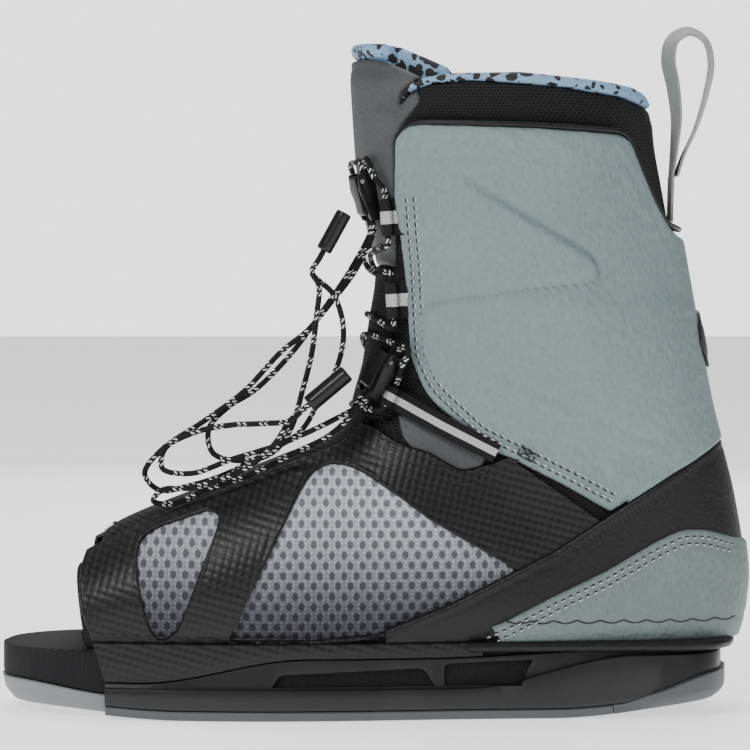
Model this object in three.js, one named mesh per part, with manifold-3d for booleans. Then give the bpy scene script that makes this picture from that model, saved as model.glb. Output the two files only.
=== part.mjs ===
// An open-toe wakeboard boot on its mounting chassis, left foot, in millimetres.
// +Z is up, -X points to the toe, +Y is the inner (medial) side of the foot.
// The origin is on the ground under the middle of the boot's bounding box.
//
// The upper is built as a shoemaker builds it: a "last" gives the boot's skin as a fan of
// sections from the toe opening, round the instep and heel, up to the collar. Each ply of
// fabric is cut from that skin at its own height, to an outline drawn in side view.
import * as THREE from "three";
import { mergeVertices } from "three/addons/utils/BufferGeometryUtils.js";
import Module from "manifold-3d";

const wasm = await Module();
wasm.setup();

// ---- driving dimensions -------------------------------------------------------------
const bootLength = 315; // toe tip of the footbed to the back of the heel counter
const ballWidth = 102; // across the upper at the ball of the foot
const collarHeight = 264; // ground to the top of the collar binding
const deckHeight = 28; // ground to the top of the footbed
const gasketThick = 4; // base gasket
const chassisDeck = 10; // ground to the chassis floor under the footbed
const toeSwing = 5; // how far the toes lean to the inner side
const plyGap = 0.3; // between any two touching pieces
const linerThick = 5;
const meshThick = 1;
const overlayThick = 1.6; // vamp, heel band and heel counter
const cuffThick = 5.6;
const tongueProud = 2; // the tongue's outer face over the liner's
const laceDiameter = 2.4;
const laceEase = 0.8; // how much wider the lace's holes and tunnels are
const webWidth = 15; // webbing tape of the lace loops and ankle straps
const webThick = 1.4;
const pullWidth = 20; // webbing of the heel pull loop
const throatWidth = 38; // between the two vamp panels
const slotWidth = 7; // mounting slots for M6 bolts
const slotLength = 16;
const laceBore = laceDiameter + laceEase;

// ---- grading: the pattern is drawn for one size and graded to the driving dimensions ----
const pattern = { length: 315, width: 102, collar: 264, deck: 28 };
const gradeX = (x) => (x * bootLength) / pattern.length;
const gradeY = (y) => (y * ballWidth) / pattern.width;
const gradeZ = (z) =>
  z <= pattern.deck
    ? (z * deckHeight) / pattern.deck
    : deckHeight +
      ((z - pattern.deck) * (collarHeight - deckHeight)) / (pattern.collar - pattern.deck);
const graded = ([x, y, z]) => new THREE.Vector3(gradeX(x), gradeY(y), gradeZ(z));

// ---- the last ------------------------------------------------------------------------
// Each station: front/top point, back/bottom point (side view), half width, and how the
// section is shaped: where it is widest, and how square it is above and below that.
const stations = [
  { front: [-126, 66], back: [-119, 20], half: 41, widest: 0.44, above: 2.0, below: 3.2 },
  { front: [-100, 79], back: [-96, 20], half: 45, widest: 0.42, above: 2.0, below: 3.4 },
  { front: [-70, 91], back: [-66, 20], half: 47.5, widest: 0.4, above: 2.0, below: 3.4 },
  { front: [-40, 103], back: [-34, 20], half: 47.5, widest: 0.38, above: 2.0, below: 3.4 },
  { front: [-17, 112], back: [2, 20], half: 44.5, widest: 0.38, above: 2.1, below: 3.2 },
  { front: [-9, 120], back: [50, 20], half: 40, widest: 0.4, above: 2.2, below: 3.0 },
  { front: [-7, 128], back: [100, 20], half: 37, widest: 0.43, above: 2.3, below: 2.8 },
  { front: [-4, 139], back: [140, 26], half: 35, widest: 0.45, above: 2.3, below: 2.6 },
  { front: [-1, 153], back: [151, 54], half: 35, widest: 0.48, above: 2.3, below: 2.5 },
  { front: [1, 168], back: [147, 90], half: 37, widest: 0.5, above: 2.3, below: 2.4 },
  { front: [2.5, 186], back: [136, 133], half: 41, widest: 0.5, above: 2.2, below: 2.3 },
  { front: [-4, 220], back: [125, 190], half: 46, widest: 0.5, above: 2.2, below: 2.2 },
  { front: [-9, 285], back: [112, 262], half: 50, widest: 0.5, above: 2.2, below: 2.2 },
];
const lastStation = stations.length - 1;

const columns = [
  (s) => gradeX(s.front[0]),
  (s) => gradeZ(s.front[1]),
  (s) => gradeX(s.back[0]),
  (s) => gradeZ(s.back[1]),
  (s) => gradeY(s.half),
  (s) => s.widest,
  (s) => s.above,
  (s) => s.below,
].map((read) => stations.map(read));

// Catmull-Rom through one column of the table, straight on past its two ends.
function alongColumn(values, t) {
  const i = Math.max(0, Math.min(lastStation - 1, Math.floor(t)));
  const f = t - i;
  const at = (k) => values[Math.max(0, Math.min(lastStation, k))];
  const [b, c] = [at(i), at(i + 1)];
  const startSlope = i === 0 ? c - b : (c - at(i - 1)) / 2;
  const endSlope = i + 1 === lastStation ? c - b : (at(i + 2) - b) / 2;
  if (f < 0) return b + f * startSlope;
  if (f > 1) return c + (f - 1) * endSlope;
  const [f2, f3] = [f * f, f * f * f];
  return (
    (2 * f3 - 3 * f2 + 1) * b +
    (f3 - 2 * f2 + f) * startSlope +
    (3 * f2 - 2 * f3) * c +
    (f3 - f2) * endSlope
  );
}

const smooth = (v, from, to) => {
  const s = Math.max(0, Math.min(1, (v - from) / (to - from)));
  return s * s * (3 - 2 * s);
};
const swingAt = (x) => toeSwing * smooth(-x, 0, bootLength / 2);

// The skin: t runs along the stations, theta round a section (0 at the front or top, pi at
// the back or sole, negative on the outer side), and lift is the height over the liner.
function skin(t, theta, lift) {
  const [fx, fz, bx, bz, half, widest, above, below] = columns.map((c) => alongColumn(c, t));
  const reach = Math.hypot(fx - bx, fz - bz);
  const [dx, dz] = [(fx - bx) / reach, (fz - bz) / reach];
  const c = Math.cos(theta);
  const s = Math.sin(theta);
  const power = 2 / (c >= 0 ? above : below);
  const rise = Math.abs(c) ** power;
  const share = c >= 0 ? widest + (1 - widest) * rise : widest * (1 - rise);
  const along = share * (reach + 2 * lift) - lift;
  const x = bx + dx * along;
  const across = Math.sign(s) * Math.abs(s) ** power * (half + lift);
  return new THREE.Vector3(x, across + swingAt(x), bz + dz * along);
}

// The skin's point that a side view shows at (x, z), on the outer (-1) or inner (+1) side.
function onSkin(x, z, side, lift) {
  const [px, pz] = [gradeX(x), gradeZ(z)];
  const off = (t) => {
    const [fx, fz, bx, bz] = columns.slice(0, 4).map((c) => alongColumn(c, t));
    return (fx - bx) * (pz - bz) - (fz - bz) * (px - bx);
  };
  let [low, high] = [-0.9, lastStation + 0.9];
  for (let i = 0; i < 40; i++) {
    const middle = (low + high) / 2;
    if (off(middle) > 0 === off(low) > 0) low = middle;
    else high = middle;
  }
  const t = (low + high) / 2;
  const [fx, fz, bx, bz, , widest, above, below] = columns.map((c) => alongColumn(c, t));
  const reach = Math.hypot(fx - bx, fz - bz);
  const along = ((px - bx) * (fx - bx) + (pz - bz) * (fz - bz)) / reach;
  const share = Math.max(0, Math.min(1, (along + lift) / (reach + 2 * lift)));
  const rise = share > widest ? (share - widest) / (1 - widest) : 1 - share / widest;
  const c = rise ** ((share > widest ? above : below) / 2);
  return skin(t, side * Math.acos(share > widest ? c : -c), lift);
}

// ---- solids --------------------------------------------------------------------------
function toSolid(geometry) {
  const bare = new THREE.BufferGeometry().setAttribute(
    "position",
    geometry.getAttribute("position"),
  );
  if (geometry.index) bare.setIndex(geometry.index);
  const merged = mergeVertices(bare.index ? bare.toNonIndexed() : bare, 1e-4);
  const mesh = new wasm.Mesh({
    numProp: 3,
    vertProperties: merged.attributes.position.array,
    triVerts: new Uint32Array(merged.index.array),
  });
  return new wasm.Manifold(mesh);
}

const drawTolerance = 0.05; // slivers thinner than this are merged away
function toGeometry(solid) {
  const mesh = solid.simplify(drawTolerance).getMesh();
  const geometry = new THREE.BufferGeometry();
  geometry.setAttribute("position", new THREE.BufferAttribute(mesh.vertProperties, 3));
  geometry.setIndex(new THREE.BufferAttribute(mesh.triVerts, 1));
  const shown = geometry.toNonIndexed();
  shown.computeVertexNormals();
  return shown;
}

// The faces over one end of a ring solid: a fan round its centre, or strips across a sole.
function fanOver(count, start, hub) {
  return Array.from({ length: count }, (_, j) => [hub, start + j, start + ((j + 1) % count)]);
}
function stripsOver(count, start) {
  const at = (j) => start + ((j + count) % count);
  return Array.from({ length: count / 2 }, (_, j) => [
    [at(j), at(j + 1), at(-j - 1)],
    [at(j), at(-j - 1), at(-j)],
  ])
    .flat()
    .filter((face) => new Set(face).size === 3);
}

// A closed solid through rings of points, each ring with as many points as the others.
function ringSolid(rings, isSole = false) {
  const count = rings[0].length;
  const centre = (ring) =>
    ring.reduce((sum, p) => sum.add(p), new THREE.Vector3()).divideScalar(count);
  const hubs = isSole ? [] : [centre(rings[0]), centre(rings.at(-1))];
  const points = [...rings.flat(), ...hubs];
  const faces = [];
  for (let i = 0; i + 1 < rings.length; i++) {
    for (let j = 0; j < count; j++) {
      const [a, b] = [i * count + j, i * count + ((j + 1) % count)];
      faces.push(a, b, b + count, a, b + count, a + count);
    }
  }
  const top = (rings.length - 1) * count;
  const cap = isSole ? stripsOver : fanOver;
  for (const face of cap(count, 0, points.length - 2)) faces.push(...face.reverse());
  for (const face of cap(count, top, points.length - 1)) faces.push(...face);
  const corner = (k) => points[faces[k]];
  let volume = 0;
  for (let k = 0; k < faces.length; k += 3) {
    volume += corner(k).dot(corner(k + 1).clone().cross(corner(k + 2)));
  }
  if (volume < 0) faces.reverse();
  const geometry = new THREE.BufferGeometry().setFromPoints(points);
  geometry.setIndex(faces);
  return toSolid(geometry);
}

const ringPoints = 24;
const sectionSteps = 1.5; // sections between two stations

// The solid under the skin at that lift; an open one runs on past the toe and the collar,
// so that taking it away leaves the boot open there.
const lasts = new Map();
function last(lift, open = false) {
  const key = `${lift} ${open}`;
  if (!lasts.has(key)) {
    const steps = lastStation * sectionSteps;
    const along = Array.from({ length: steps + 1 }, (_, i) => i / sectionSteps);
    if (open) along.unshift(-0.9);
    if (open) along.push(lastStation + 0.9);
    const angles = Array.from({ length: ringPoints }, (_, j) => (j + 0.5) / ringPoints);
    lasts.set(key, ringSolid(along.map((t) => angles.map((a) => skin(t, a * 2 * Math.PI, lift)))));
  }
  return lasts.get(key);
}

// A shape with straight sides and rounded corners; a corner is [x, z] or [x, z, radius].
function outline(corners, radius = 0) {
  const shape = new THREE.Shape();
  const count = corners.length;
  const at = (i) => new THREE.Vector2(...corners[(i + count) % count].slice(0, 2));
  corners.forEach((corner, i) => {
    const here = at(i);
    const r = corner[2] ?? radius;
    const toLast = at(i - 1).sub(here);
    const toNext = at(i + 1).sub(here);
    const cut = (v) => Math.min(r, v.length() * 0.45);
    const enter = here.clone().addScaledVector(toLast.clone().normalize(), cut(toLast));
    const leave = here.clone().addScaledVector(toNext.clone().normalize(), cut(toNext));
    if (i === 0) shape.moveTo(enter.x, enter.y);
    else shape.lineTo(enter.x, enter.y);
    if (r > 0) shape.quadraticCurveTo(here.x, here.y, leave.x, leave.y);
  });
  shape.closePath();
  return shape;
}

const farAway = 200; // past either side of the boot
// A side-view outline in pattern units, carried across the boot from yFrom to yTo.
function sidePrism(corners, radius = 0, yFrom = -farAway, yTo = farAway) {
  const graded = corners.map(([x, z, r]) => [gradeX(x), gradeZ(z), r]);
  const geometry = new THREE.ExtrudeGeometry(outline(graded, radius), {
    depth: yTo - yFrom,
    bevelEnabled: false,
    curveSegments: 4,
  });
  geometry.rotateX(Math.PI / 2).translate(0, yTo, 0);
  return toSolid(geometry);
}

// A top-view shape, carried up from zFrom to zTo.
function plateSolid(shape, zFrom, zTo, curveSegments = 6) {
  const geometry = new THREE.ExtrudeGeometry(shape, {
    depth: zTo - zFrom,
    bevelEnabled: false,
    curveSegments,
  });
  return toSolid(geometry.translate(0, 0, zFrom));
}

function boxSolid(low, high) {
  const size = high.map((v, i) => v - low[i]);
  const geometry = new THREE.BoxGeometry(...size);
  return toSolid(geometry.translate(...low.map((v, i) => v + size[i] / 2)));
}

// A cylinder from one point to another.
function rodSolid(from, to, radius, sides = 16) {
  const [a, b] = [new THREE.Vector3(...from), new THREE.Vector3(...to)];
  const geometry = new THREE.CylinderGeometry(radius, radius, a.distanceTo(b), sides);
  geometry.applyQuaternion(
    new THREE.Quaternion().setFromUnitVectors(
      new THREE.Vector3(0, 1, 0),
      b.clone().sub(a).normalize(),
    ),
  );
  geometry.translate((a.x + b.x) / 2, (a.y + b.y) / 2, (a.z + b.z) / 2);
  return toSolid(geometry);
}

// A tube along a smooth line through the points.
function tubeGeometry(points, diameter, sides, spacing) {
  const curve = new THREE.CatmullRomCurve3(points, false, "centripetal");
  const section = new THREE.Shape();
  section.absarc(0, 0, diameter / 2, 0, 2 * Math.PI);
  const ring = new THREE.Shape(section.getSpacedPoints(sides).slice(0, sides));
  return new THREE.ExtrudeGeometry(ring, {
    extrudePath: curve,
    steps: Math.max(2, Math.round(curve.getLength() / spacing)),
    bevelEnabled: false,
  });
}

// ---- materials -----------------------------------------------------------------------
const material = (color, roughness, metalness = 0) =>
  new THREE.MeshStandardMaterial({ color, roughness, metalness });
const looks = {
  chassis: material(0x1b1b1d, 0.35),
  paleRubber: material(0x9aa09f, 0.7),
  darkRubber: material(0x6d7275, 0.7),
  footbed: material(0x26262a, 0.85),
  liner: material(0x1c1c1e, 0.9),
  binding: material(0x8fb3d6, 0.8),
  mesh: material(0x8d9096, 0.85),
  overlay: material(0x1f1f20, 0.55),
  leather: material(0x93a3a3, 0.55),
  greyLeather: material(0x4b4b4d, 0.5),
  webbing: material(0x1a1a1c, 0.85),
  loopTape: material(0xc9cac6, 0.8),
  lace: material(0x242022, 0.75),
  plastic: material(0x151515, 0.3),
  steel: material(0xb6b8ba, 0.35, 1),
  badge: material(0x3a3c3e, 0.4),
  board: material(0x8a7a62, 0.8),
};

const boot = new THREE.Group();
function place(name, shape, look, group = boot) {
  const geometry = shape.isBufferGeometry ? shape : toGeometry(shape);
  const mesh = new THREE.Mesh(geometry, looks[look]);
  mesh.name = name;
  group.add(mesh);
  return mesh;
}

// ---- sole stack ----------------------------------------------------------------------
// Half the footbed's outline in top view, toe to heel.
const soleLine = [
  [-157, 0],
  [-153, 19],
  [-141, 33],
  [-118, 42.5],
  [-85, 48],
  [-50, 49.5],
  [-10, 46.5],
  [30, 41.5],
  [70, 38],
  [105, 36],
  [127, 29],
  [137.5, 17],
  [141, 0],
];

// The sole outline grown (or shrunk, if negative) by that much all round.
function soleRing(grow) {
  const half = soleLine.map(([x, y]) => {
    const gx = gradeX(x) + (grow * x) / 150;
    return [gx, gradeY(y) + grow * Math.min(1, y / 20)];
  });
  const curve = (points) => new THREE.SplineCurve(points.map((p) => new THREE.Vector2(...p)));
  const outer = curve(half.map(([x, y]) => [x, -y])).getSpacedPoints(20);
  const inner = [...outer].reverse().slice(1, -1);
  const both = [...outer, ...inner.map((p) => new THREE.Vector2(p.x, -p.y))];
  return both.map((p) => new THREE.Vector2(p.x, p.y + swingAt(p.x)));
}
const sole = (grow) => new THREE.Shape(soleRing(grow));

const rimGrow = 5; // chassis rim beyond the footbed
const wallGrow = 2.6; // chassis wall beyond the footbed
const rimMiddle = 13; // top of the chassis rim amidships
const heelWallTop = deckHeight;
const toeSeam = -113; // the chassis starts behind the toe gasket
const heelSeam = 98; // the base gasket ends and the heel gasket starts
const rocker = (x) => 4 * smooth(-x, 78, 150) + 6 * smooth(x, 72, 142);
const rimTop = (x) => rimMiddle + (heelWallTop - 2 - rimMiddle) * smooth(x, 36, 104);
const wallTop = (x) => 15 + 10 * smooth(x, -96, -28) + 3 * smooth(x, 20, 104);

// A stack of sole outlines, each with its own growth and height at every x.
function soleStack(levels) {
  return ringSolid(
    levels.map(({ grow, z }) =>
      soleRing(0).map((p, i) => {
        const q = soleRing(grow(p.x))[i];
        return new THREE.Vector3(q.x, q.y, z(q.x));
      }),
    ),
    true,
  );
}

const behind = (x) => boxSolid([gradeX(x), -farAway, -50], [farAway * 2, farAway, 60]);
const ahead = (x) => boxSolid([-farAway * 2, -farAway, -50], [gradeX(x), farAway, 60]);

// The chassis walls' outside, let out by a gap so that its neighbours clear it.
function chassisBody(gap = 0) {
  return soleStack([
    { grow: () => rimGrow - 2 + gap, z: (x) => gasketThick + rocker(x) + plyGap - gap },
    { grow: () => rimGrow + gap, z: (x) => 8 + rocker(x) * 0.6 },
    { grow: () => rimGrow + gap, z: (x) => rimTop(x) + gap },
    { grow: () => wallGrow + 1 + gap, z: (x) => rimTop(x) + 0.8 + gap },
    { grow: () => wallGrow + gap, z: (x) => wallTop(x) + gap },
  ]);
}

const toeRise = (x) => 5 * smooth(-x, 105, 150);

// Grooves across the top of the exposed toe, for grip.
function toeGrooves() {
  const grooves = [];
  for (let x = -148; x <= -126; x += 5.5) {
    grooves.push(
      boxSolid(
        [gradeX(x) - 0.6, -farAway, deckHeight - 0.8],
        [gradeX(x) + 0.6, farAway, deckHeight + 1],
      ),
    );
  }
  return wasm.Manifold.union(grooves).intersect(plateSolid(sole(-4), 0, deckHeight + 2));
}

const slotSpots = [-12, 47].flatMap((x) => [-1, 1].map((side) => [x, side]));
const slotInset = 9; // mounting slot's centre line, inwards from the rim

// The rim's distance from the boot's centre line at a place along it.
function rimHalf(x) {
  const ring = soleRing(rimGrow).filter((p) => p.y < swingAt(p.x));
  const next = ring.findIndex((p) => p.x > gradeX(x));
  const [a, b] = [ring[next - 1], ring[next]];
  const f = (gradeX(x) - a.x) / (b.x - a.x);
  return Math.abs(a.y + (b.y - a.y) * f - swingAt(gradeX(x)));
}

// A mounting slot with round ends, right through the chassis and its gasket.
function mountSlot([x, side]) {
  const [cx, cy] = [gradeX(x), side * (rimHalf(x) - slotInset) + swingAt(gradeX(x))];
  const run = (slotLength - slotWidth) / 2;
  const shape = new THREE.Shape();
  shape.absarc(cx + run, cy, slotWidth / 2, -Math.PI / 2, Math.PI / 2);
  shape.absarc(cx - run, cy, slotWidth / 2, Math.PI / 2, 1.5 * Math.PI);
  return plateSolid(shape, -10, chassisDeck + 20, 5);
}
const allSlots = wasm.Manifold.union(slotSpots.map(mountSlot));

const screwSpots = [-88, 112].flatMap((x) => [-1, 1].map((side) => [x, side * 20]));
const screw = { shank: 2.5, head: 5, headThick: 3, length: 16 };
const screwHeadTop = gasketThick + screw.headThick + 2;

function screwSolid([x, y], gap, open) {
  const [cx, cy] = [gradeX(x), gradeY(y) + swingAt(gradeX(x))];
  const tip = screwHeadTop + screw.length - screw.headThick;
  const bottom = open ? -farAway : screwHeadTop - screw.headThick;
  return rodSolid([cx, cy, screwHeadTop - 0.5], [cx, cy, tip + gap], screw.shank + gap, 12).add(
    rodSolid([cx, cy, bottom], [cx, cy, screwHeadTop + gap], screw.head + gap, 12),
  );
}
// Each screw's hole with its counterbore, open to the ground.
const screwHoles = wasm.Manifold.union(screwSpots.map((spot) => screwSolid(spot, plyGap, true)));

// Pockets in the chassis sides, one long and low, one half round, where the heads of the
// mounting bolts go in. Their floor is the seat the bolt heads bear on.
const pocketRise = 4; // how far that floor is above the chassis floor
const pocketFloor = chassisDeck + pocketRise;
const slotWall = 0.5; // between a mounting slot and the pocket's inner end
const rearSlot = slotSpots.at(-1)[0];
const pocketDepth = rimHalf(rearSlot) - slotInset - slotWidth / 2 - slotWall;
const pocketShapes = [
  [[-45, 0], [-39, 19, 2], [20, 21.4, 3], [26, 0]],
  [[29, 0], [28, 23, 3], [65, 24.4, 1], [61, 17, 7], [60, 0]],
];
function pockets(low, gap = 0) {
  const reach = pocketDepth - gap;
  const above = boxSolid([-farAway, -farAway, low], [farAway, farAway, 60]);
  const cuts = pocketShapes.flatMap((corners) => {
    const middle = corners.reduce((sum, [x]) => sum + x, 0) / corners.length;
    const letOut = corners.map(([x, z, r]) => [x + Math.sign(x - middle) * gap, z + gap, r]);
    return [
      sidePrism(letOut, 1, -farAway, -reach),
      sidePrism(letOut, 1, reach, farAway),
    ];
  });
  return wasm.Manifold.union(cuts).intersect(above);
}

function footbed() {
  const toeUndercut = soleStack([
    { grow: () => 2, z: () => 0 },
    { grow: () => 2, z: (x) => chassisDeck + toeRise(x) },
  ]).intersect(ahead(toeSeam + 6));
  return plateSolid(sole(0), chassisDeck + plyGap, deckHeight)
    .subtract(toeUndercut)
    .subtract(toeGrooves())
    .subtract(pockets(0, plyGap))
    .subtract(screwHoles);
}

function chassis() {
  const seat = plateSolid(sole(plyGap), chassisDeck, 80);
  return chassisBody()
    .intersect(behind(toeSeam))
    .subtract(seat.subtract(pockets(0)))
    .subtract(pockets(pocketFloor))
    .subtract(allSlots)
    .subtract(screwHoles);
}

function baseGasket() {
  return soleStack([
    { grow: () => rimGrow - 3, z: rocker },
    { grow: () => rimGrow - 2, z: (x) => gasketThick + rocker(x) },
  ])
    .intersect(behind(toeSeam))
    .intersect(ahead(heelSeam - plyGap))
    .subtract(allSlots)
    .subtract(screwHoles);
}

// The heel gasket wraps the back of the chassis as a wedge.
function heelGasket() {
  const rise = (x) => 9 * smooth(x, gradeX(heelSeam), gradeX(140));
  return soleStack([
    { grow: () => rimGrow - 3, z: rocker },
    { grow: () => rimGrow, z: (x) => gasketThick - 1 + rocker(x) },
    { grow: () => rimGrow + 1.8, z: (x) => gasketThick + 1.5 + rocker(x) },
    { grow: () => rimGrow + 1.8, z: (x) => gasketThick + 2 + rise(x) + rocker(x) * 0.5 },
  ])
    .intersect(behind(heelSeam))
    .subtract(chassisBody(plyGap))
    .subtract(screwHoles);
}

function toeGasket() {
  return soleStack([
    { grow: () => -4, z: rocker },
    { grow: () => -0.5, z: (x) => 5 + rocker(x) },
    { grow: () => 0.5, z: (x) => chassisDeck - plyGap + toeRise(x) },
  ]).intersect(ahead(toeSeam - plyGap));
}

// ---- plies of the upper ----------------------------------------------------------------
const meshLift = plyGap;
const overlayLift = meshLift + meshThick + plyGap;
const bandLift = overlayLift + overlayThick + plyGap;
const counterLift = bandLift + overlayThick + plyGap;
const upperFoot = 31.5; // lower edge of the plies in side view
const openEdge = 8.7; // front edges of the liner's opening, where the tongue shows

const ply = (from, to) => last(to).subtract(last(from, true));
const outerSide = () => boxSolid([-farAway * 2, -farAway, -50], [farAway * 2, 0, 400]);
const innerSide = () => boxSolid([-farAway * 2, plyGap, -50], [farAway * 2, farAway, 400]);
const sideHalf = (side) => (side < 0 ? outerSide() : innerSide());

// The lace throat over the instep, in top view: a straight gap between the vamp panels.
function throat(half = throatWidth / 2) {
  const middle = swingAt(gradeX(-60));
  return boxSolid([gradeX(-160), middle - half, 40], [gradeX(14), middle + half, 160]);
}

const vampTop = [[-122, 62, 6], [-118, 74, 4], [-92, 92], [-20, 122], [-2, 120, 4], [11, 112, 4],
  [23, 108.5], [35, 101.5, 5], [40, 102], [63, 110, 3]];
const vampCorners = [...vampTop, [112, 96], [100, 76], [55, 52], [22, 40], [2, 34],
  [-10, upperFoot], [-116, upperFoot], [-121, 45]];
const bandTop = [[-40, 29.5], [-18, 32.5], [2, 36], [11, 39.5], [32, 48], [56, 60], [73, 68.5],
  [101, 86.5], [165, 128]];
const counterTop = [[36, 33.5], [53, 39.5], [73, 50], [94, 60], [115, 72], [126, 77, 4],
  [136, 77, 4], [165, 68]];
const bigWindow = [[-60, 32.5, 3], [-30, 95, 6], [-25, 102, 4], [-17, 105, 5], [-7, 102.5, 6],
  [10, 91], [22, 82], [58, 61], [31, 46], [2, 35], [-25, 32.5]];
const smallWindow = [[-98, 69, 3], [-96, 74, 4], [-90, 78, 4], [-68, 85.5, 3], [-64, 83, 3],
  [-65, 78, 4], [-80, 38, 4], [-85, 33, 3], [-89, 33, 3], [-93, 39, 5], [-97, 56, 6]];
const meshCorners = [[-101, 33], [-103, 72], [-70, 90], [-16, 110], [2, 106], [58, 70], [66, 60],
  [30, upperFoot], [-92, upperFoot]];
const cuffTop = [[125, 198, 3], [120, 202, 3], [114, 212, 6], [107, 228, 6], [102.5, 239.5, 6],
  [63, 242], [15, 243.5, 6], [9.3, 239, 5]];
const cuffFront = [[9, 215], [10.5, 200], [12, 185], [14, 149], [20, 133, 8]];
const cuffCorners = [...cuffFront, [42, 113.5], [78, 95.5], [99, 83.5, 2], [165, 126], [165, 190],
  ...cuffTop];
const collarEdge = [[10.5, 251, 3], [14, 256, 5], [22, 259.5, 4], [39, 261], [71, 259], [100, 255],
  [112, 251], [130, 246]];
const bindingTop = [[11, 256, 3], [16, 261, 4], [26, 264, 5], [59, 264.5], [91, 261.5],
  [108, 259, 4], [114, 254], [130, 250]];

function frontOpening(edge) {
  const line = [[edge, 121], [edge, 300], [-80, 300], [-80, 121]];
  return sidePrism(line).add(throat().intersect(sidePrism([[-200, 40], [14, 40], [14, 122],
    [-200, 122]])));
}

function liner() {
  const body = [...collarEdge.map(([x, z, r]) => [x, z, r]), [170, 240], [170, 20], [-118, 20],
    [-124, 60, 4], [-112, 100], [-60, 140], [-60, 250]];
  return ply(-linerThick, 0)
    .intersect(sidePrism(body))
    .subtract(frontOpening(openEdge))
    .subtract(boxSolid([-farAway, -farAway, -50], [farAway, farAway, gradeZ(deckHeight) + plyGap]));
}

// The binding wraps the liner's top edge all round the opening.
function collarBinding() {
  const band = [...collarEdge.map(([x, z, r]) => [x, z + plyGap, r]), ...bindingTop.reverse()];
  return ply(-linerThick, 0.8).intersect(sidePrism(band, 1)).subtract(frontOpening(openEdge));
}

function vampPanel(side) {
  return ply(overlayLift, overlayLift + overlayThick)
    .intersect(sidePrism(vampCorners))
    .intersect(sideHalf(side))
    .subtract(throat())
    .subtract(sidePrism(bigWindow))
    .subtract(sidePrism(smallWindow));
}

function meshPanel(side) {
  return ply(meshLift, meshLift + meshThick)
    .intersect(sidePrism(meshCorners, 4))
    .intersect(sideHalf(side))
    .subtract(throat());
}

// Room for the plies that run on under the heel band and the cuff.
function underlay() {
  const mesh = last(meshLift + meshThick + plyGap).intersect(sidePrism(meshCorners, 4));
  return last(bandLift).intersect(sidePrism(vampCorners)).add(mesh);
}

function heelBand() {
  const body = [...bandTop, [170, 20], [-40, 20]];
  return ply(plyGap, bandLift + overlayThick)
    .intersect(sidePrism(body))
    .subtract(underlay())
    .intersect(boxSolid([gradeX(4), -farAway, gradeZ(upperFoot)], [farAway, farAway, 300]));
}

function heelCounter() {
  const body = [...counterTop, [165, upperFoot], [36, upperFoot]];
  return ply(counterLift, counterLift + overlayThick).intersect(sidePrism(body));
}

function cuff() {
  const bandLine = [...bandTop.map(([x, z]) => [x, z + plyGap * 2]), [170, 20], [-40, 20]];
  return ply(plyGap, plyGap + cuffThick)
    .intersect(sidePrism(cuffCorners))
    .subtract(underlay())
    .subtract(last(bandLift + overlayThick + plyGap).intersect(sidePrism(bandLine)));
}

// The vamp's lower edge, folded under and down the sides of the footbed.
function soleRand(side) {
  const outside = soleStack([
    { grow: () => 2.2, z: () => chassisDeck },
    { grow: () => 1.6, z: () => gradeZ(upperFoot) - plyGap },
  ]);
  return outside
    .subtract(plateSolid(sole(plyGap), 0, deckHeight + plyGap))
    .subtract(last(plyGap))
    .subtract(chassisBody(plyGap))
    .intersect(behind(toeSeam + 1))
    .intersect(ahead(38))
    .intersect(sideHalf(side));
}

// The rolled welt round the heel, between the chassis and the heel counter.
function soleWelt() {
  const bulge = (x) => 1.5 + 6 * smooth(x, 100, 148);
  const bottom = heelWallTop + plyGap;
  const top = gradeZ(upperFoot) - plyGap;
  return soleStack([
    { grow: () => 0.6, z: () => bottom },
    { grow: (x) => 2 + bulge(x), z: () => bottom },
    { grow: (x) => 3 + bulge(x), z: () => bottom + 0.8 },
    { grow: (x) => 3 + bulge(x), z: () => top - 0.8 },
    { grow: (x) => 2 + bulge(x), z: () => top },
    { grow: () => 0.6, z: () => top },
  ])
    .subtract(boxSolid([-farAway, -farAway, 0], [gradeX(38) + plyGap, farAway, 90]))
    .subtract(plateSolid(sole(plyGap), 0, deckHeight + plyGap))
    .subtract(last(plyGap));
}

const insideFoot = () => last(-linerThick - plyGap);
const boardTop = deckHeight + plyGap + 2;
function lastingBoard() {
  return plateSolid(sole(-1), deckHeight + plyGap, boardTop).intersect(insideFoot());
}
function insole() {
  return plateSolid(sole(-1), boardTop + plyGap, boardTop + plyGap + 4).intersect(insideFoot());
}

// ---- tongue --------------------------------------------------------------------------
const tongueSeam = 185; // ankle pad below, leg shield above
const tongueTop = [[31, 266], [19, 271.5], [8.4, 276], [-2, 277], [-30, 277]];

function ankleTongue() {
  const foot = throat(throatWidth / 2 - plyGap).intersect(
    sidePrism([[-114, 40], [8, 40], [8, 122], [-10, 125], [-114, 100]]),
  );
  const ankle = sidePrism([[openEdge - plyGap, 121.6], [openEdge - plyGap, tongueSeam],
    [-60, tongueSeam], [-60, 121.6]]);
  return ply(-linerThick, tongueProud)
    .intersect(foot.add(ankle))
    .subtract(boxSolid([-farAway, -farAway, 0], [farAway, farAway, 50]))
    .subtract(throat(throatWidth / 2 + 30).subtract(throat(throatWidth / 2 - plyGap))
      .intersect(sidePrism([[-120, 30], [14, 30], [14, 121.5], [-120, 121.5]])));
}

const shieldTop = [[openEdge - plyGap, 270.5], [-30, 271]];
function tongueShield() {
  const side = [[-60, tongueSeam + plyGap], [openEdge - plyGap, tongueSeam + plyGap],
    ...shieldTop, [-60, 271]];
  return ply(-1.5, tongueProud).intersect(sidePrism(side));
}

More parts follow.
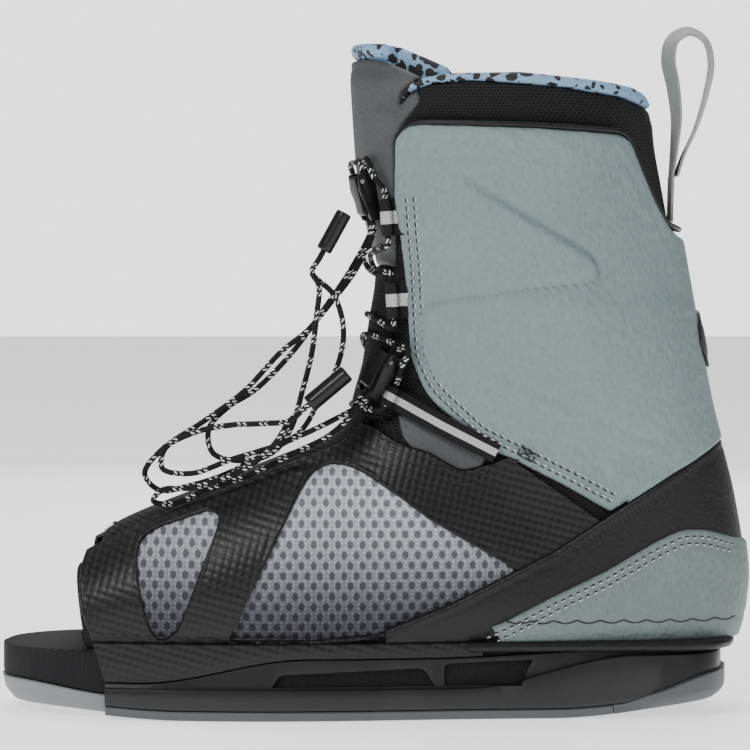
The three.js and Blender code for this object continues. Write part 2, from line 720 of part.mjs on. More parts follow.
// The padded lining stands over the shield's top edge as a soft roll.
function tongueLining() {
  const edge = openEdge - plyGap;
  const back = [[-60, tongueSeam + plyGap], [edge, tongueSeam + plyGap], [edge, 276], [-2, 277],
    [-60, 277]];
  const roll = [[-60, 271 + plyGap], [edge, 270.5 + plyGap], [edge, 276], [-2, 277], [-60, 277]];
  return ply(-6.5, -1.5 - plyGap)
    .intersect(sidePrism(back))
    .add(ply(-6.5, tongueProud - 0.4).intersect(sidePrism(roll)));
}

// Soft wings join the tongue's lining to the inside of the liner.
function tongueWing(side) {
  const shape = [[openEdge, tongueSeam + 8], [24, tongueSeam + 8], [31, 200, 4],
    ...tongueTop.slice(0, 2), [openEdge, 276]];
  return ply(-linerThick - plyGap - 3, -linerThick - plyGap)
    .intersect(sidePrism(shape))
    .intersect(sideHalf(side));
}

// ---- webbing and laces -----------------------------------------------------------------
const frameOf = (origin, across, up, out) =>
  new THREE.Matrix4().makeBasis(across, up, out).setPosition(origin);

// A frame standing on the skin: x across the boot, y up along the front, z outwards.
function skinFrame(t, theta, lift) {
  const at = skin(t, theta, lift);
  const up = skin(t + 0.1, theta, lift).sub(at).normalize();
  const side = skin(t, theta + 0.02, lift).sub(at).normalize();
  const out = up.clone().cross(side).normalize();
  const outward = out.dot(skin(t, theta, lift + 1).sub(at)) < 0 ? out.negate() : out;
  return frameOf(at, up.clone().cross(outward), up, outward);
}

const move = (solid, matrix) => solid.transform(matrix.elements);

// Flat tape along a path of skin places, with its flat side on the skin.
function tape(path, side, width, thick) {
  const centre = path.map(([x, z, lift]) => onSkin(x, z, side, lift));
  const outer = path.map(([x, z, lift]) => onSkin(x, z, side, lift + 1));
  const rings = centre.map((p, i) => {
    const before = centre[Math.max(0, i - 1)];
    const after = centre[Math.min(centre.length - 1, i + 1)];
    const out = outer[i].clone().sub(p).normalize();
    const along = after.clone().sub(before).normalize();
    const across = along.clone().cross(out).normalize();
    return [[-1, -1], [1, -1], [1, 1], [-1, 1]].map(([a, o]) =>
      p.clone().addScaledVector(across, (a * width) / 2).addScaledVector(out, (o * thick) / 2),
    );
  });
  return ringSolid(rings);
}

// The end of a loop of tape, rolled round the tunnel its lace runs through.
function tapeRoll(path, side, width) {
  const [[x, z, lift], [nextX, nextZ]] = path;
  const at = onSkin(x, z, side, lift);
  const along = onSkin(nextX, nextZ, side, lift).sub(at).normalize();
  const out = onSkin(x, z, side, lift + 1).sub(at).normalize();
  const across = along.cross(out).normalize().multiplyScalar(width / 2);
  const centre = at.addScaledVector(out, (laceBore + webThick) / 2);
  return { centre, across };
}

function laceLoop(path, side, width) {
  const { centre, across } = tapeRoll(path, side, width);
  const [from, to] = [centre.clone().sub(across), centre.clone().add(across)];
  const [farFrom, farTo] = [-1.5, 1.5].map((k) => centre.clone().addScaledVector(across, k));
  return tape(path, side, width, webThick)
    .add(rodSolid(from.toArray(), to.toArray(), laceBore / 2 + webThick, 14))
    .subtract(rodSolid(farFrom.toArray(), farTo.toArray(), laceBore / 2, 14));
}

const laceLoops = {
  upper: { path: [[4.6, 205.5, 4.2], [9, 205.8, 3.2], [14, 206, 3], [20, 206.3, 3]], width: webWidth },
  lower: { path: [[7, 171.5, 4.2], [12, 171.8, 3.2], [17, 172, 3], [23, 172.3, 3]], width: webWidth },
};
const strapWidth = 8.5;
const strapLift = bandLift + plyGap + 0.1 + webThick / 2; // the strap's middle, over the vamp
const strapStart = 132; // height of the strap's front end
const lockOverStrap = 8.5; // the lower lock's middle over that end
const strapPath = [[6, strapStart], [16, 126.5], [28, 120], [40, 114], [50, 109]].map(([x, z]) => [
  x,
  z,
  strapLift,
]);
const tunnels = (side) =>
  wasm.Manifold.union([
    ...Object.values(laceLoops).map(({ path, width }) =>
      tape(path, side, width + 2 * plyGap, webThick + 2 * plyGap),
    ),
    tape(strapPath, side, strapWidth + 2 * plyGap, webThick + 2 * plyGap),
  ]);

// A lace lock in its own frame: x across, y along the laces, z out of the boot.
const lockSizes = {
  upper: { width: 9, length: 20, thick: 8 },
  lower: { width: 10, length: 20, thick: 8.4 },
};
const pinRadius = 1;
const lockFloor = 1.2;
const laceSeat = lockFloor + 0.2 + laceDiameter / 2; // height of the laces over the lock's foot
const laceApart = 1.4; // each lace's distance from the lock's middle
const leverFloor = laceSeat + laceDiameter / 2 + plyGap;

function lockParts({ width, length, thick }) {
  const [w, l] = [width / 2, length / 2];
  const cheek = 1.5;
  const pin = [l - 3.4, leverFloor + 2];
  const side = (corners, from, to, radius) => {
    const shape = new THREE.ExtrudeGeometry(outline(corners, radius), {
      depth: to - from,
      bevelEnabled: false,
      curveSegments: 3,
    });
    // drawn as [along, out], extruded across
    shape.applyMatrix4(
      new THREE.Matrix4().makeBasis(
        new THREE.Vector3(0, 1, 0),
        new THREE.Vector3(0, 0, 1),
        new THREE.Vector3(1, 0, 0),
      ),
    );
    return toSolid(shape.translate(from, 0, 0));
  };
  const floor = side([[-l, 0], [l, 0], [l, lockFloor], [-l, lockFloor]], -w, w, 0);
  const cheeks = side([[-l, 0], [l, 0], [l, thick], [l - 7, thick], [-l, thick * 0.55]], -w, w, 1.5)
    .subtract(boxSolid([-w + cheek, -l - 1, lockFloor], [w - cheek, l + 1, thick + 1]));
  const hole = (r) => rodSolid([-w - 1, ...pin], [w + 1, ...pin], r, 12);
  const [pinY, tail] = [pin[0], 2];
  const lever = side(
    [
      [pinY + 1.2, leverFloor, 0.5],
      [pinY + tail, leverFloor + 1.4, 0.5],
      [pinY + tail + 0.6, thick + 0.9, 1.5],
      [-l + 3, thick - 1, 1],
      [-l + 2, leverFloor, 1],
    ],
    -w + cheek + plyGap,
    w - cheek - plyGap,
    1,
  );
  return {
    body: floor.add(cheeks).subtract(hole(pinRadius + plyGap / 2)),
    lever: lever.subtract(hole(pinRadius + plyGap)),
    pin: rodSolid([-w + 0.2, ...pin], [w - 0.2, ...pin], pinRadius, 10),
    pinAt: new THREE.Vector3(0, ...pin),
  };
}

const lockFrames = {
  upper: skinFrame(10.9, -0.4, tongueProud + plyGap),
  lower: (() => {
    const up = new THREE.Vector3(0.56, -0.04, 0.83).normalize();
    const across = up.clone().cross(new THREE.Vector3(-0.62, -0.78, 0.3)).normalize();
    const origin = graded([3.5, -26, strapStart]).add(new THREE.Vector3(0, 0, lockOverStrap));
    return frameOf(origin, across, up, across.clone().cross(up));
  })(),
};
const inLock = (zone, x, y, z) => new THREE.Vector3(x, y, z).applyMatrix4(lockFrames[zone]);

// Grip sleeves: two tubes side by side, a lace through each.
const handles = {
  upper: {
    from: graded([-12.5, -38, 207.5]),
    to: graded([-21, -38.5, 192]),
    radius: 3.6,
    step: 2.2,
    order: [1, 0],
  },
  lower: {
    from: graded([-11.5, -38, 142]),
    to: graded([-27, -39, 129]),
    radius: 4.1,
    step: 2.6,
    order: [0, 1],
  },
};
function handleAxes({ from, to, step }) {
  const along = to.clone().sub(from).normalize();
  const across = new THREE.Vector3(0, 1, 0).projectOnPlane(along).normalize();
  return [-step, step].map((k) => [from, to].map((p) => p.clone().addScaledVector(across, k)));
}
function handle(size) {
  const axes = handleAxes(size);
  const tubes = axes.map(([a, b]) => rodSolid(a.toArray(), b.toArray(), size.radius, 16));
  const bores = axes.map(([a, b]) => {
    const spare = b.clone().sub(a).multiplyScalar(0.1);
    return rodSolid(a.clone().sub(spare).toArray(), b.clone().add(spare).toArray(), laceBore / 2, 12);
  });
  return tubes[0].add(tubes[1]).subtract(wasm.Manifold.union(bores));
}

// A lace through the loops of one zone, both its ends held in that zone's lock.
const laceOver = tongueProud + plyGap + laceDiameter / 2; // lift of a lace lying on the tongue
function throughRoll(path, side, width, downwards) {
  const { centre, across } = tapeRoll(path, side, width);
  const up = across.z > 0 ? across : across.clone().negate();
  const places = [1.5, 0.75, -0.75, -1.5].map((k) => centre.clone().addScaledVector(up, k));
  return downwards ? places : places.reverse();
}
const lockEnd = (zone, side) => {
  const [x, half] = [side * laceApart, lockSizes[zone].length / 2];
  return [1, half, half + 2.5].map((y) => inLock(zone, x, y, laceSeat));
};
// From the lock's outer lace round the lock's cheek and back down beside it.
const roundCheek = (zone, drop) => {
  const { width, length } = lockSizes[zone];
  const [x, half] = [width / 2, length / 2];
  return [
    inLock(zone, x - 0.5, half + 5.6, laceSeat + 0.3),
    inLock(zone, x + 2.4, half + 3.2, laceSeat + 0.6),
    inLock(zone, x + 2.9, half - drop, laceSeat + 0.6),
  ];
};
const over = (t, theta, extra) => skin(t, theta, laceOver + extra);

function upperLacing() {
  const roll = (name, side, down) =>
    throughRoll(laceLoops[name].path, side, laceLoops[name].width, down);
  return [
    ...lockEnd("upper", 1),
    ...roundCheek("upper", 0.5),
    ...roll("upper", -1, true),
    over(10.25, -0.35, 1.2),
    over(10.05, 0, 1.2),
    over(9.8, 0.35, 1.2),
    ...roll("lower", 1, true),
    over(8.75, 0.35, 1),
    over(8.7, 0, 1),
    over(8.7, -0.35, 1),
    ...roll("lower", -1, false),
    over(9.8, -0.35, 4.4),
    over(10.05, 0, 4.6),
    over(10.25, 0.35, 4.4),
    ...roll("upper", 1, false),
    over(10.9, 0.35, 1.4),
    over(11.12, 0.02, 2.2),
    ...lockEnd("upper", -1).reverse(),
  ];
}

function lowerLacing() {
  const roll = (side, down) => throughRoll(strapPath, side, strapWidth, down);
  return [
    ...lockEnd("lower", 1),
    ...roundCheek("lower", 1),
    ...roll(-1, true),
    over(5.9, -0.35, 1.8),
    over(5.9, 0.35, 1.8),
    ...roll(1, false),
    over(7.7, 0.3, 1.2),
    over(8.1, -0.1, 1.6),
    ...lockEnd("lower", -1).reverse(),
  ];
}

// The loose end of a lace: out of its lock's foot, in a loop over the vamp, into its handle.
const looseEnds = {
  upper: [
    [[-8, -24, 184], [-17, -24, 172], [-28, -24, 159], [-39, -24, 150], [-54, -23, 134],
      [-70, -21, 122], [-89, -17, 109], [-96, -14, 99], [-90, -11, 92], [-77, -11, 94],
      [-62, -13, 99], [-45, -16, 108], [-31, -20, 117], [-23, -23, 130], [-15, -28, 146],
      [-13, -32, 160], [-17, -35, 174]],
    [[-9, -18, 186], [-21, -17, 168], [-35, -17, 149], [-50, -17, 134], [-61, -17, 127],
      [-69, -19, 118], [-67, -22, 108], [-55, -23, 105], [-43, -25, 108], [-35, -27, 118],
      [-30, -28, 134], [-26, -31, 150], [-24, -36, 165], [-23, -39.5, 178]],
  ],
  lower: [
    [[-14, -32, 124], [-26, -32, 118], [-40, -31, 112], [-59, -29, 106], [-76, -27, 100],
      [-88, -25, 102], [-87, -23, 110], [-74, -24, 117], [-60, -28, 120], [-46, -34, 121]],
    [[-12, -27, 122], [-20, -25, 115], [-34, -22, 108], [-52, -21, 99], [-70, -20, 93],
      [-84, -19, 87], [-92, -20, 88], [-88, -24, 93], [-76, -26, 94], [-60, -28, 99],
      [-48, -32, 106], [-41, -36, 113]],
  ],
};

function looseLace(zone, which) {
  const side = which === 0 ? 1 : -1;
  const half = lockSizes[zone].length / 2;
  const seats = [-1, -half, -half - 4].map((y) => inLock(zone, side * laceApart, y, laceSeat));
  const [a, b] = handleAxes(handles[zone])[handles[zone].order[which]];
  const along = a.clone().sub(b).normalize();
  const inside = b.clone().distanceTo(a) - 2;
  const ends = [-10, -4, 2, inside / 2, inside].map((d) => b.clone().addScaledVector(along, d));
  return [...seats, ...looseEnds[zone][which].map(graded), ...ends];
}

// ---- heel pull loop, badge and piping --------------------------------------------------
const pullTab = [[122.6, 204], [124.6, 204], [125.2, 222.5], [123.2, 222.5]];
const pullOutside = [[123.4, 223.1], [124.6, 236], [125.4, 248], [123.8, 262], [121.5, 274, 5],
  [123.5, 282, 5], [131.5, 285, 6], [139.5, 281, 5], [142, 270, 5], [139.8, 258], [135.4, 243.5],
  [129, 230], [125.4, 223.1]];
const pullInside = [[125.6, 228], [126.4, 236], [127.2, 248], [125.6, 262], [123.5, 273.5, 4],
  [125, 280.3, 4], [131.5, 283.1, 5], [138, 279.6, 4], [140.1, 270, 4], [138, 258.6],
  [133.7, 244.3], [127.4, 231]];

function bandAcross(corners, width) {
  return sidePrism(corners, 0, -width / 2, width / 2);
}

function pullLoop() {
  return bandAcross(pullOutside, pullWidth).subtract(bandAcross(pullInside, pullWidth + 2));
}

function backBadge() {
  const oval = new THREE.Shape();
  oval.absellipse(0, gradeZ(155), 15, 12, 0, 2 * Math.PI);
  const geometry = new THREE.ExtrudeGeometry(oval, {
    depth: farAway,
    bevelEnabled: false,
    curveSegments: 10,
  });
  geometry.applyMatrix4(
    new THREE.Matrix4().makeBasis(
      new THREE.Vector3(0, 1, 0),
      new THREE.Vector3(0, 0, 1),
      new THREE.Vector3(1, 0, 0),
    ),
  );
  const outside = plyGap + cuffThick;
  return ply(outside + plyGap, outside + plyGap + 1.3).intersect(
    toSolid(geometry.translate(gradeX(100), 0, 0)),
  );
}

function cuffPiping() {
  const shifted = (dx, dz) => cuffTop.map(([x, z, r]) => [x + dx, z + dz, r]);
  const band = [...shifted(1.3, 1.9), ...shifted(0.28, 0.36).reverse()];
  return ply(plyGap, plyGap + cuffThick + 0.4).intersect(sidePrism(band.map(([x, z]) => [x, z]), 0.8));
}

const pieces = {
  chassis: [chassis, "chassis"],
  base_gasket: [baseGasket, "darkRubber"],
  toe_gasket: [toeGasket, "paleRubber"],
  heel_gasket: [heelGasket, "darkRubber"],
  footbed: [footbed, "footbed"],
  lasting_board: [lastingBoard, "board"],
  insole: [insole, "footbed"],
  sole_welt: [soleWelt, "overlay"],
  liner: [liner, "liner"],
  collar_binding: [collarBinding, "binding"],
  heel_band: [heelBand, "overlay"],
  heel_counter: [heelCounter, "leather"],
  cuff: [() => cuff().subtract(tunnels(-1)).subtract(tunnels(1)), "leather"],
  cuff_piping: [cuffPiping, "overlay"],
  back_badge: [backBadge, "badge"],
  ankle_tongue: [ankleTongue, "liner"],
  tongue_shield: [tongueShield, "greyLeather"],
  tongue_lining: [tongueLining, "binding"],
  pull_tab: [() => bandAcross(pullTab, pullWidth), "loopTape"],
  pull_loop: [pullLoop, "loopTape"],
  upper_handle: [() => handle(handles.upper), "plastic"],
  lower_handle: [() => handle(handles.lower), "plastic"],
};
for (const [name, [make, look]] of Object.entries(pieces)) place(name, make(), look);

for (const [word, side] of [["outer", -1], ["inner", 1]]) {
  place(`vamp_${word}`, vampPanel(side), "overlay");
  place(`mesh_${word}`, meshPanel(side), "mesh");
  place(`sole_rand_${word}`, soleRand(side), "overlay");
  place(`tongue_wing_${word}`, tongueWing(side), "binding");
  place(`ankle_strap_${word}`, laceLoop(strapPath, side, strapWidth), "webbing");
  for (const [zone, { path, width }] of Object.entries(laceLoops)) {
    place(`${zone}_loop_${word}`, laceLoop(path, side, width), "webbing");
  }
}

for (const zone of ["upper", "lower"]) {
  const { body, lever, pin } = lockParts(lockSizes[zone]);
  place(`${zone}_lock_body`, move(body, lockFrames[zone]), "plastic");
  place(`${zone}_lock_lever`, move(lever, lockFrames[zone]), "plastic");
  place(`${zone}_lock_pin`, move(pin, lockFrames[zone]), "steel");
}

const cord = (points) => tubeGeometry(points, laceDiameter, 8, laceDiameter * 2.8);
place("upper_lacing", cord(upperLacing()), "lace");
place("lower_lacing", cord(lowerLacing()), "lace");
for (const zone of ["upper", "lower"]) {
  for (const which of [0, 1]) {
    place(`${zone}_lace_end_${which + 1}`, cord(looseLace(zone, which)), "lace");
  }
}

const screwNames = ["front_outer", "front_inner", "rear_outer", "rear_inner"];
screwSpots.forEach((spot, i) => {
  place(`chassis_screw_${screwNames[i]}`, screwSolid(spot, 0, false), "steel");
});

export default boot;
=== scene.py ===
import math

import bpy
import numpy as np
from mathutils import Matrix, Vector


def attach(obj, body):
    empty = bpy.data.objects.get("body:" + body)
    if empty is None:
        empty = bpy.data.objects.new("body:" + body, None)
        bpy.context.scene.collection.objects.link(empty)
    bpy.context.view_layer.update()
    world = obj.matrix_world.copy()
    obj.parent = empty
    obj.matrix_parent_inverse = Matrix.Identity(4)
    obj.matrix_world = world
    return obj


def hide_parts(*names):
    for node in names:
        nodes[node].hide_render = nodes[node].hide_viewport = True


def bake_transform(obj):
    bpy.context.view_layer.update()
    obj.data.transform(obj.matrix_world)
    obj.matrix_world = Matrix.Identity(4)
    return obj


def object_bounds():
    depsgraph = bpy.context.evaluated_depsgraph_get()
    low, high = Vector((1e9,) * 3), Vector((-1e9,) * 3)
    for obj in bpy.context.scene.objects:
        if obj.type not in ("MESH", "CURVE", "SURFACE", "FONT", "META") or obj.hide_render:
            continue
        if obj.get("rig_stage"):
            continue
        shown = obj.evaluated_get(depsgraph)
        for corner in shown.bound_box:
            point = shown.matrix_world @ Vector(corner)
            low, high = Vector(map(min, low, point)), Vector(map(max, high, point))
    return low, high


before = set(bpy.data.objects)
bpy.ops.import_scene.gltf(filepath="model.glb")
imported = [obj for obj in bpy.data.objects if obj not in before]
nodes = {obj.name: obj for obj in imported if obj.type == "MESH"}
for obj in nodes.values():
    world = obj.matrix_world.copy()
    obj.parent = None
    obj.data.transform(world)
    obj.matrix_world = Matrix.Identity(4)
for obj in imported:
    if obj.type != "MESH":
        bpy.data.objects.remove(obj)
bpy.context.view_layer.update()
mm = 0.001
print("stage: frame loaded")


def placed(name, data):
    obj = bpy.data.objects.new(name, data)
    bpy.context.collection.objects.link(obj)
    return obj


def turnTo(obj, aim):
    obj.rotation_euler = (Vector(aim) - obj.location).to_track_quat("-Z", "Y").to_euler()


view = {"distance": 1.5, "height": 0.195, "aim": (0, 0, 0.1397), "across": 0.315}
camera = placed("camera", bpy.data.cameras.new("camera"))
camera.location = (0, -view["distance"], view["height"])
turnTo(camera, view["aim"])
camera.data.lens = camera.data.sensor_width * view["distance"] / view["across"]
bpy.context.scene.camera = camera


def areaLight(name, place, aim, size, power):
    light = bpy.data.lights.new(name, "AREA")
    light.shape = "RECTANGLE"
    light.size, light.size_y = size
    light.energy = power
    lamp = placed(name, light)
    lamp.location = place
    turnTo(lamp, aim)


areaLight("keyLight", (-0.9, -1.3, 1.5), (0, 0, 0.12), (0.6, 0.6), 24)
areaLight("fillLight", (1.3, -1.0, 0.9), (0, 0, 0.12), (0.7, 1.0), 3)
areaLight("topLight", (0.1, 0.3, 1.7), (0, 0, 0.1), (0.9, 0.6), 15)
areaLight("backLight", (0.2, 1.4, 0.7), (0, 0, 0.15), (1.2, 0.7), 7)
studio = bpy.data.worlds.new("studio")
bpy.context.scene.world = studio
studio.use_nodes = True
sky = studio.node_tree
fill, backdrop = sky.nodes["Background"], sky.nodes.new("ShaderNodeBackground")
for ground, strength in ((fill, 0.26), (backdrop, 2.2)):  # what lights the boot, and what the camera sees
    ground.inputs["Strength"].default_value = strength
    ground.inputs["Color"].default_value = (1, 1, 1, 1)
seen, both = sky.nodes.new("ShaderNodeLightPath"), sky.nodes.new("ShaderNodeMixShader")
sky.links.new(seen.outputs["Is Camera Ray"], both.inputs["Fac"])
sky.links.new(fill.outputs["Background"], both.inputs[1])
sky.links.new(backdrop.outputs["Background"], both.inputs[2])
sky.links.new(both.outputs["Shader"], sky.nodes["World Output"].inputs["Surface"])


class Wire:
    def __init__(self, tree, socket):
        self.tree, self.socket = tree, socket

    def maths(self, kind, *others):
        made = self.tree.nodes.new("ShaderNodeMath")
        made.operation = kind
        for place, value in zip(made.inputs, (self, *others)):
            plug(self.tree, place, value)
        return Wire(self.tree, made.outputs[0])

    __add__ = __radd__ = lambda self, other: self.maths("ADD", other)
    __mul__ = __rmul__ = lambda self, other: self.maths("MULTIPLY", other)
    __sub__ = lambda self, other: self.maths("SUBTRACT", other)
    __rsub__ = lambda self, other: self * -1 + other
    __truediv__ = lambda self, other: self.maths("DIVIDE", other)
    __gt__ = lambda self, other: self.maths("GREATER_THAN", other)
    __lt__ = lambda self, other: self.maths("LESS_THAN", other)
    __abs__ = lambda self: self.maths("ABSOLUTE")
    __pow__ = lambda self, other: self.maths("POWER", other)

    def part(self):
        return self.maths("FRACT")

    def sine(self):
        return self.maths("SINE")


def plug(tree, place, value):
    if isinstance(value, Wire):
        tree.links.new(value.socket, place)
    elif isinstance(value, tuple) and len(value) == 3 and place.type == "RGBA":
        place.default_value = (*value, 1)
    else:
        place.default_value = value


class Finish:
    def __init__(self, name, colour, roughness, shine=0.5, **fixed):
        self.material = bpy.data.materials.new(name)
        self.material.use_nodes = True
        self.tree = self.material.node_tree
        self.shader = self.tree.nodes["Principled BSDF"]
        self.set("Base Color", colour)
        self.set("Roughness", roughness)
        self.set("Specular IOR Level", shine)
        for key, value in fixed.items():
            self.set(key.replace("_", " "), value)

    def set(self, name, value):
        plug(self.tree, self.shader.inputs[name], value)

    def node(self, kind, settings=None, outlet=0, **values):
        made = self.tree.nodes.new("ShaderNode" + kind)
        for key, value in (settings or {}).items():
            setattr(made, key, value)
        for key, value in values.items():
            place = made.inputs[int(key[1:])] if key[1:].isdigit() else made.inputs[key]
            plug(self.tree, place, value)
        return Wire(self.tree, made.outputs[outlet])

    def place(self, kind="Object"):
        return self.node("TexCoord", None, kind)

    def split(self, vector):
        made = self.tree.nodes.new("ShaderNodeSeparateXYZ")
        plug(self.tree, made.inputs[0], vector)
        return [Wire(self.tree, out) for out in made.outputs]

    def noise(self, scale, detail=3, vector=None, roughness=0.55):
        at = self.place() if vector is None else vector
        return self.node("TexNoise", None, 0, Vector=at, Scale=scale, Detail=detail, Roughness=roughness)

    def cells(self, scale, vector, feature="F1"):
        return self.node("TexVoronoi", {"feature": feature}, 0, Vector=vector, Scale=scale)

    def smooth(self, value, low, high, toLow=0.0, toHigh=1.0):
        smoothly = {"interpolation_type": "SMOOTHSTEP"}
        return self.node("MapRange", smoothly, 0, _0=value, _1=low, _2=high, _3=toLow, _4=toHigh)

    def mix(self, mask, first, second):
        return self.node("Mix", {"data_type": "RGBA"}, 2, _0=mask, _6=first, _7=second)

    def bump(self, height, distance, strength=1.0):
        self.set("Normal", self.node("Bump", None, 0, Height=height, Distance=distance, Strength=strength))


def paint(obj, finish):
    if len(obj.data.materials) == 0:
        obj.data.materials.append(finish.material)
    else:
        for spot in range(len(obj.data.materials)):
            obj.data.materials[spot] = finish.material


# The sections that the upper is pulled over, in millimetres, from toe to collar: front x and z, back x
# and z, half width, where along the section it is widest, and how round it is above and below that.
lastTable = np.array([
    (-126, 66, -119, 20, 41, 0.44, 2.0, 3.2), (-100, 79, -96, 20, 45, 0.42, 2.0, 3.4),
    (-70, 91, -66, 20, 47.5, 0.4, 2.0, 3.4), (-40, 103, -34, 20, 47.5, 0.38, 2.0, 3.4),
    (-17, 112, 2, 20, 44.5, 0.38, 2.1, 3.2), (-9, 120, 50, 20, 40, 0.4, 2.2, 3.0),
    (-7, 128, 100, 20, 37, 0.43, 2.3, 2.8), (-4, 139, 140, 26, 35, 0.45, 2.3, 2.6),
    (-1, 153, 151, 54, 35, 0.48, 2.3, 2.5), (1, 168, 147, 90, 37, 0.5, 2.3, 2.4),
    (2.5, 186, 136, 133, 41, 0.5, 2.2, 2.3), (-4, 220, 125, 190, 46, 0.5, 2.2, 2.2),
    (-9, 285, 112, 262, 50, 0.5, 2.2, 2.2),
])
topStation = len(lastTable) - 1


def column(k, t):
    v = lastTable[:, k]
    t = np.asarray(t, float)
    i = np.clip(np.floor(t).astype(int), 0, topStation - 1)
    f = t - i
    b, c = v[i], v[i + 1]
    startSlope = np.where(i == 0, c - b, (c - v[np.maximum(i - 1, 0)]) / 2)
    endSlope = np.where(i + 1 == topStation, c - b, (v[np.minimum(i + 2, topStation)] - b) / 2)
    f2, f3 = f * f, f * f * f
    curve = (2 * f3 - 3 * f2 + 1) * b + (f3 - 2 * f2 + f) * startSlope
    curve = curve + (3 * f2 - 2 * f3) * c + (f3 - f2) * endSlope
    return np.where(f < 0, b + f * startSlope, np.where(f > 1, c + (f - 1) * endSlope, curve))


def unit(v):
    return v / (np.linalg.norm(v) if v.ndim == 1 else np.linalg.norm(v, axis=1)[:, None])


def runAlong(points):
    return np.concatenate([[0], np.cumsum(np.linalg.norm(np.diff(points, axis=0), axis=1))])


def resample(values, run, spots):
    return np.stack([np.interp(spots, run, values[:, k]) for k in range(values.shape[1])], 1)


def smoothStep(v, low, high):
    s = np.clip((np.asarray(v, float) - low) / (high - low), 0, 1)
    return s * s * (3 - 2 * s)


def swingAt(x):
    return 5 * smoothStep(-np.asarray(x, float), 0, 157.5)


def skin(t, theta, lift):
    t, theta, lift = np.broadcast_arrays(*[np.asarray(v, float) for v in (t, theta, lift)])
    fx, fz, bx, bz, half, widest, above, below = [column(k, t) for k in range(8)]
    reach = np.hypot(fx - bx, fz - bz)
    c, s = np.cos(theta), np.sin(theta)
    power = 2 / np.where(c >= 0, above, below)
    rise = np.abs(c) ** power
    share = np.where(c >= 0, widest + (1 - widest) * rise, widest * (1 - rise))
    along = share * (reach + 2 * lift) - lift
    x = bx + (fx - bx) / reach * along
    y = np.sign(s) * np.abs(s) ** power * (half + lift) + swingAt(x)
    z = bz + (fz - bz) / reach * along
    return np.stack([x, y, z], -1)


def onSkin(x, z, side, lift):
    x, z, side, lift = np.broadcast_arrays(*[np.asarray(v, float) for v in (x, z, side, lift)])
    low, high = np.full(x.shape, -0.9), np.full(x.shape, topStation + 0.9)

    def off(t):
        fx, fz, bx, bz = [column(k, t) for k in range(4)]
        return (fx - bx) * (z - bz) - (fz - bz) * (x - bx)

    sign = off(low) > 0
    for _ in range(34):
        middle = (low + high) / 2
        same = (off(middle) > 0) == sign
        low, high = np.where(same, middle, low), np.where(same, high, middle)
    t = (low + high) / 2
    fx, fz, bx, bz, _half, widest, above, below = [column(k, t) for k in range(8)]
    reach = np.hypot(fx - bx, fz - bz)
    along = ((x - bx) * (fx - bx) + (z - bz) * (fz - bz)) / reach
    share = np.clip((along + lift) / (reach + 2 * lift), 0, 1)
    front = share > widest
    rise = np.where(front, (share - widest) / (1 - widest), 1 - share / widest)
    c = np.clip(rise, 0, 1) ** (np.where(front, above, below) / 2)
    return skin(t, side * np.arccos(np.where(front, c, -c)), lift)


# An outline in side view from (x, z, corner radius).
def rounded(corners, radius=0.0, steps=6, closed=True):
    count, path = len(corners), []
    at = [np.array(c[:2], float) for c in corners]
    for i, corner in enumerate(corners):
        r = corner[2] if len(corner) > 2 else radius
        if not closed and i in (0, count - 1):
            path.append(at[i])
            continue
        toLast, toNext = at[i - 1] - at[i], at[(i + 1) % count] - at[i]
        cut = [min(r, np.linalg.norm(v) * 0.45) for v in (toLast, toNext)]
        enter = at[i] + toLast / np.linalg.norm(toLast) * cut[0]
        leave = at[i] + toNext / np.linalg.norm(toNext) * cut[1]
        if r <= 0:
            path.append(at[i])
            continue
        for f in np.linspace(0, 1, steps + 1):
            path.append((1 - f) ** 2 * enter + 2 * f * (1 - f) * at[i] + f * f * leave)
    return np.array(path)


def distanceTo(points, path):
    best = np.full(len(points), 1e9)
    px, pz = points[:, 0], points[:, 1]
    for a, b in zip(path[:-1], path[1:]):
        d = b - a
        f = np.clip(((px - a[0]) * d[0] + (pz - a[1]) * d[1]) / max(d @ d, 1e-12), 0, 1)
        best = np.minimum(best, np.hypot(px - a[0] - f * d[0], pz - a[1] - f * d[1]))
    return best


# The distance from a closed path's edge, above zero inside it.
def depthIn(points, path):
    ring = np.concatenate([path, path[:1]])
    inside = np.zeros(len(points), bool)
    px, pz = points[:, 0], points[:, 1]
    for a, b in zip(ring[:-1], ring[1:]):
        if a[1] != b[1]:
            crosses = (a[1] > pz) != (b[1] > pz)
            inside ^= crosses & (px < (b[0] - a[0]) * (pz - a[1]) / (b[1] - a[1]) + a[0])
    best = distanceTo(points, ring)
    return np.where(inside, best, -best)


def meshObject(name, points, faces, uv=None, sharp=50):
    mesh = bpy.data.meshes.new(name)
    mesh.from_pydata(np.asarray(points, float).tolist(), [], faces)
    mesh.update()
    if uv is not None:
        layer = mesh.uv_layers.new(name="pattern")
        loops = np.zeros(len(mesh.loops), np.int32)
        mesh.loops.foreach_get("vertex_index", loops)
        layer.data.foreach_set("uv", np.asarray(uv, np.float32)[loops].ravel())
    obj = placed(name, mesh)
    if sharp:
        chosen(obj)
        bpy.ops.object.shade_smooth_by_angle(angle=math.radians(sharp))
    return obj


def chosen(*objs):
    if bpy.context.object and bpy.context.object.mode != "OBJECT":
        bpy.ops.object.mode_set(mode="OBJECT")
    bpy.ops.object.select_all(action="DESELECT")
    for obj in objs:
        obj.select_set(True)
    bpy.context.view_layer.objects.active = objs[0]


def finishPiece(obj, finish, body="boot", standsFor=()):
    paint(obj, finish)
    if standsFor:
        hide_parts(*standsFor)
    if body:
        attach(obj, body)
    return obj


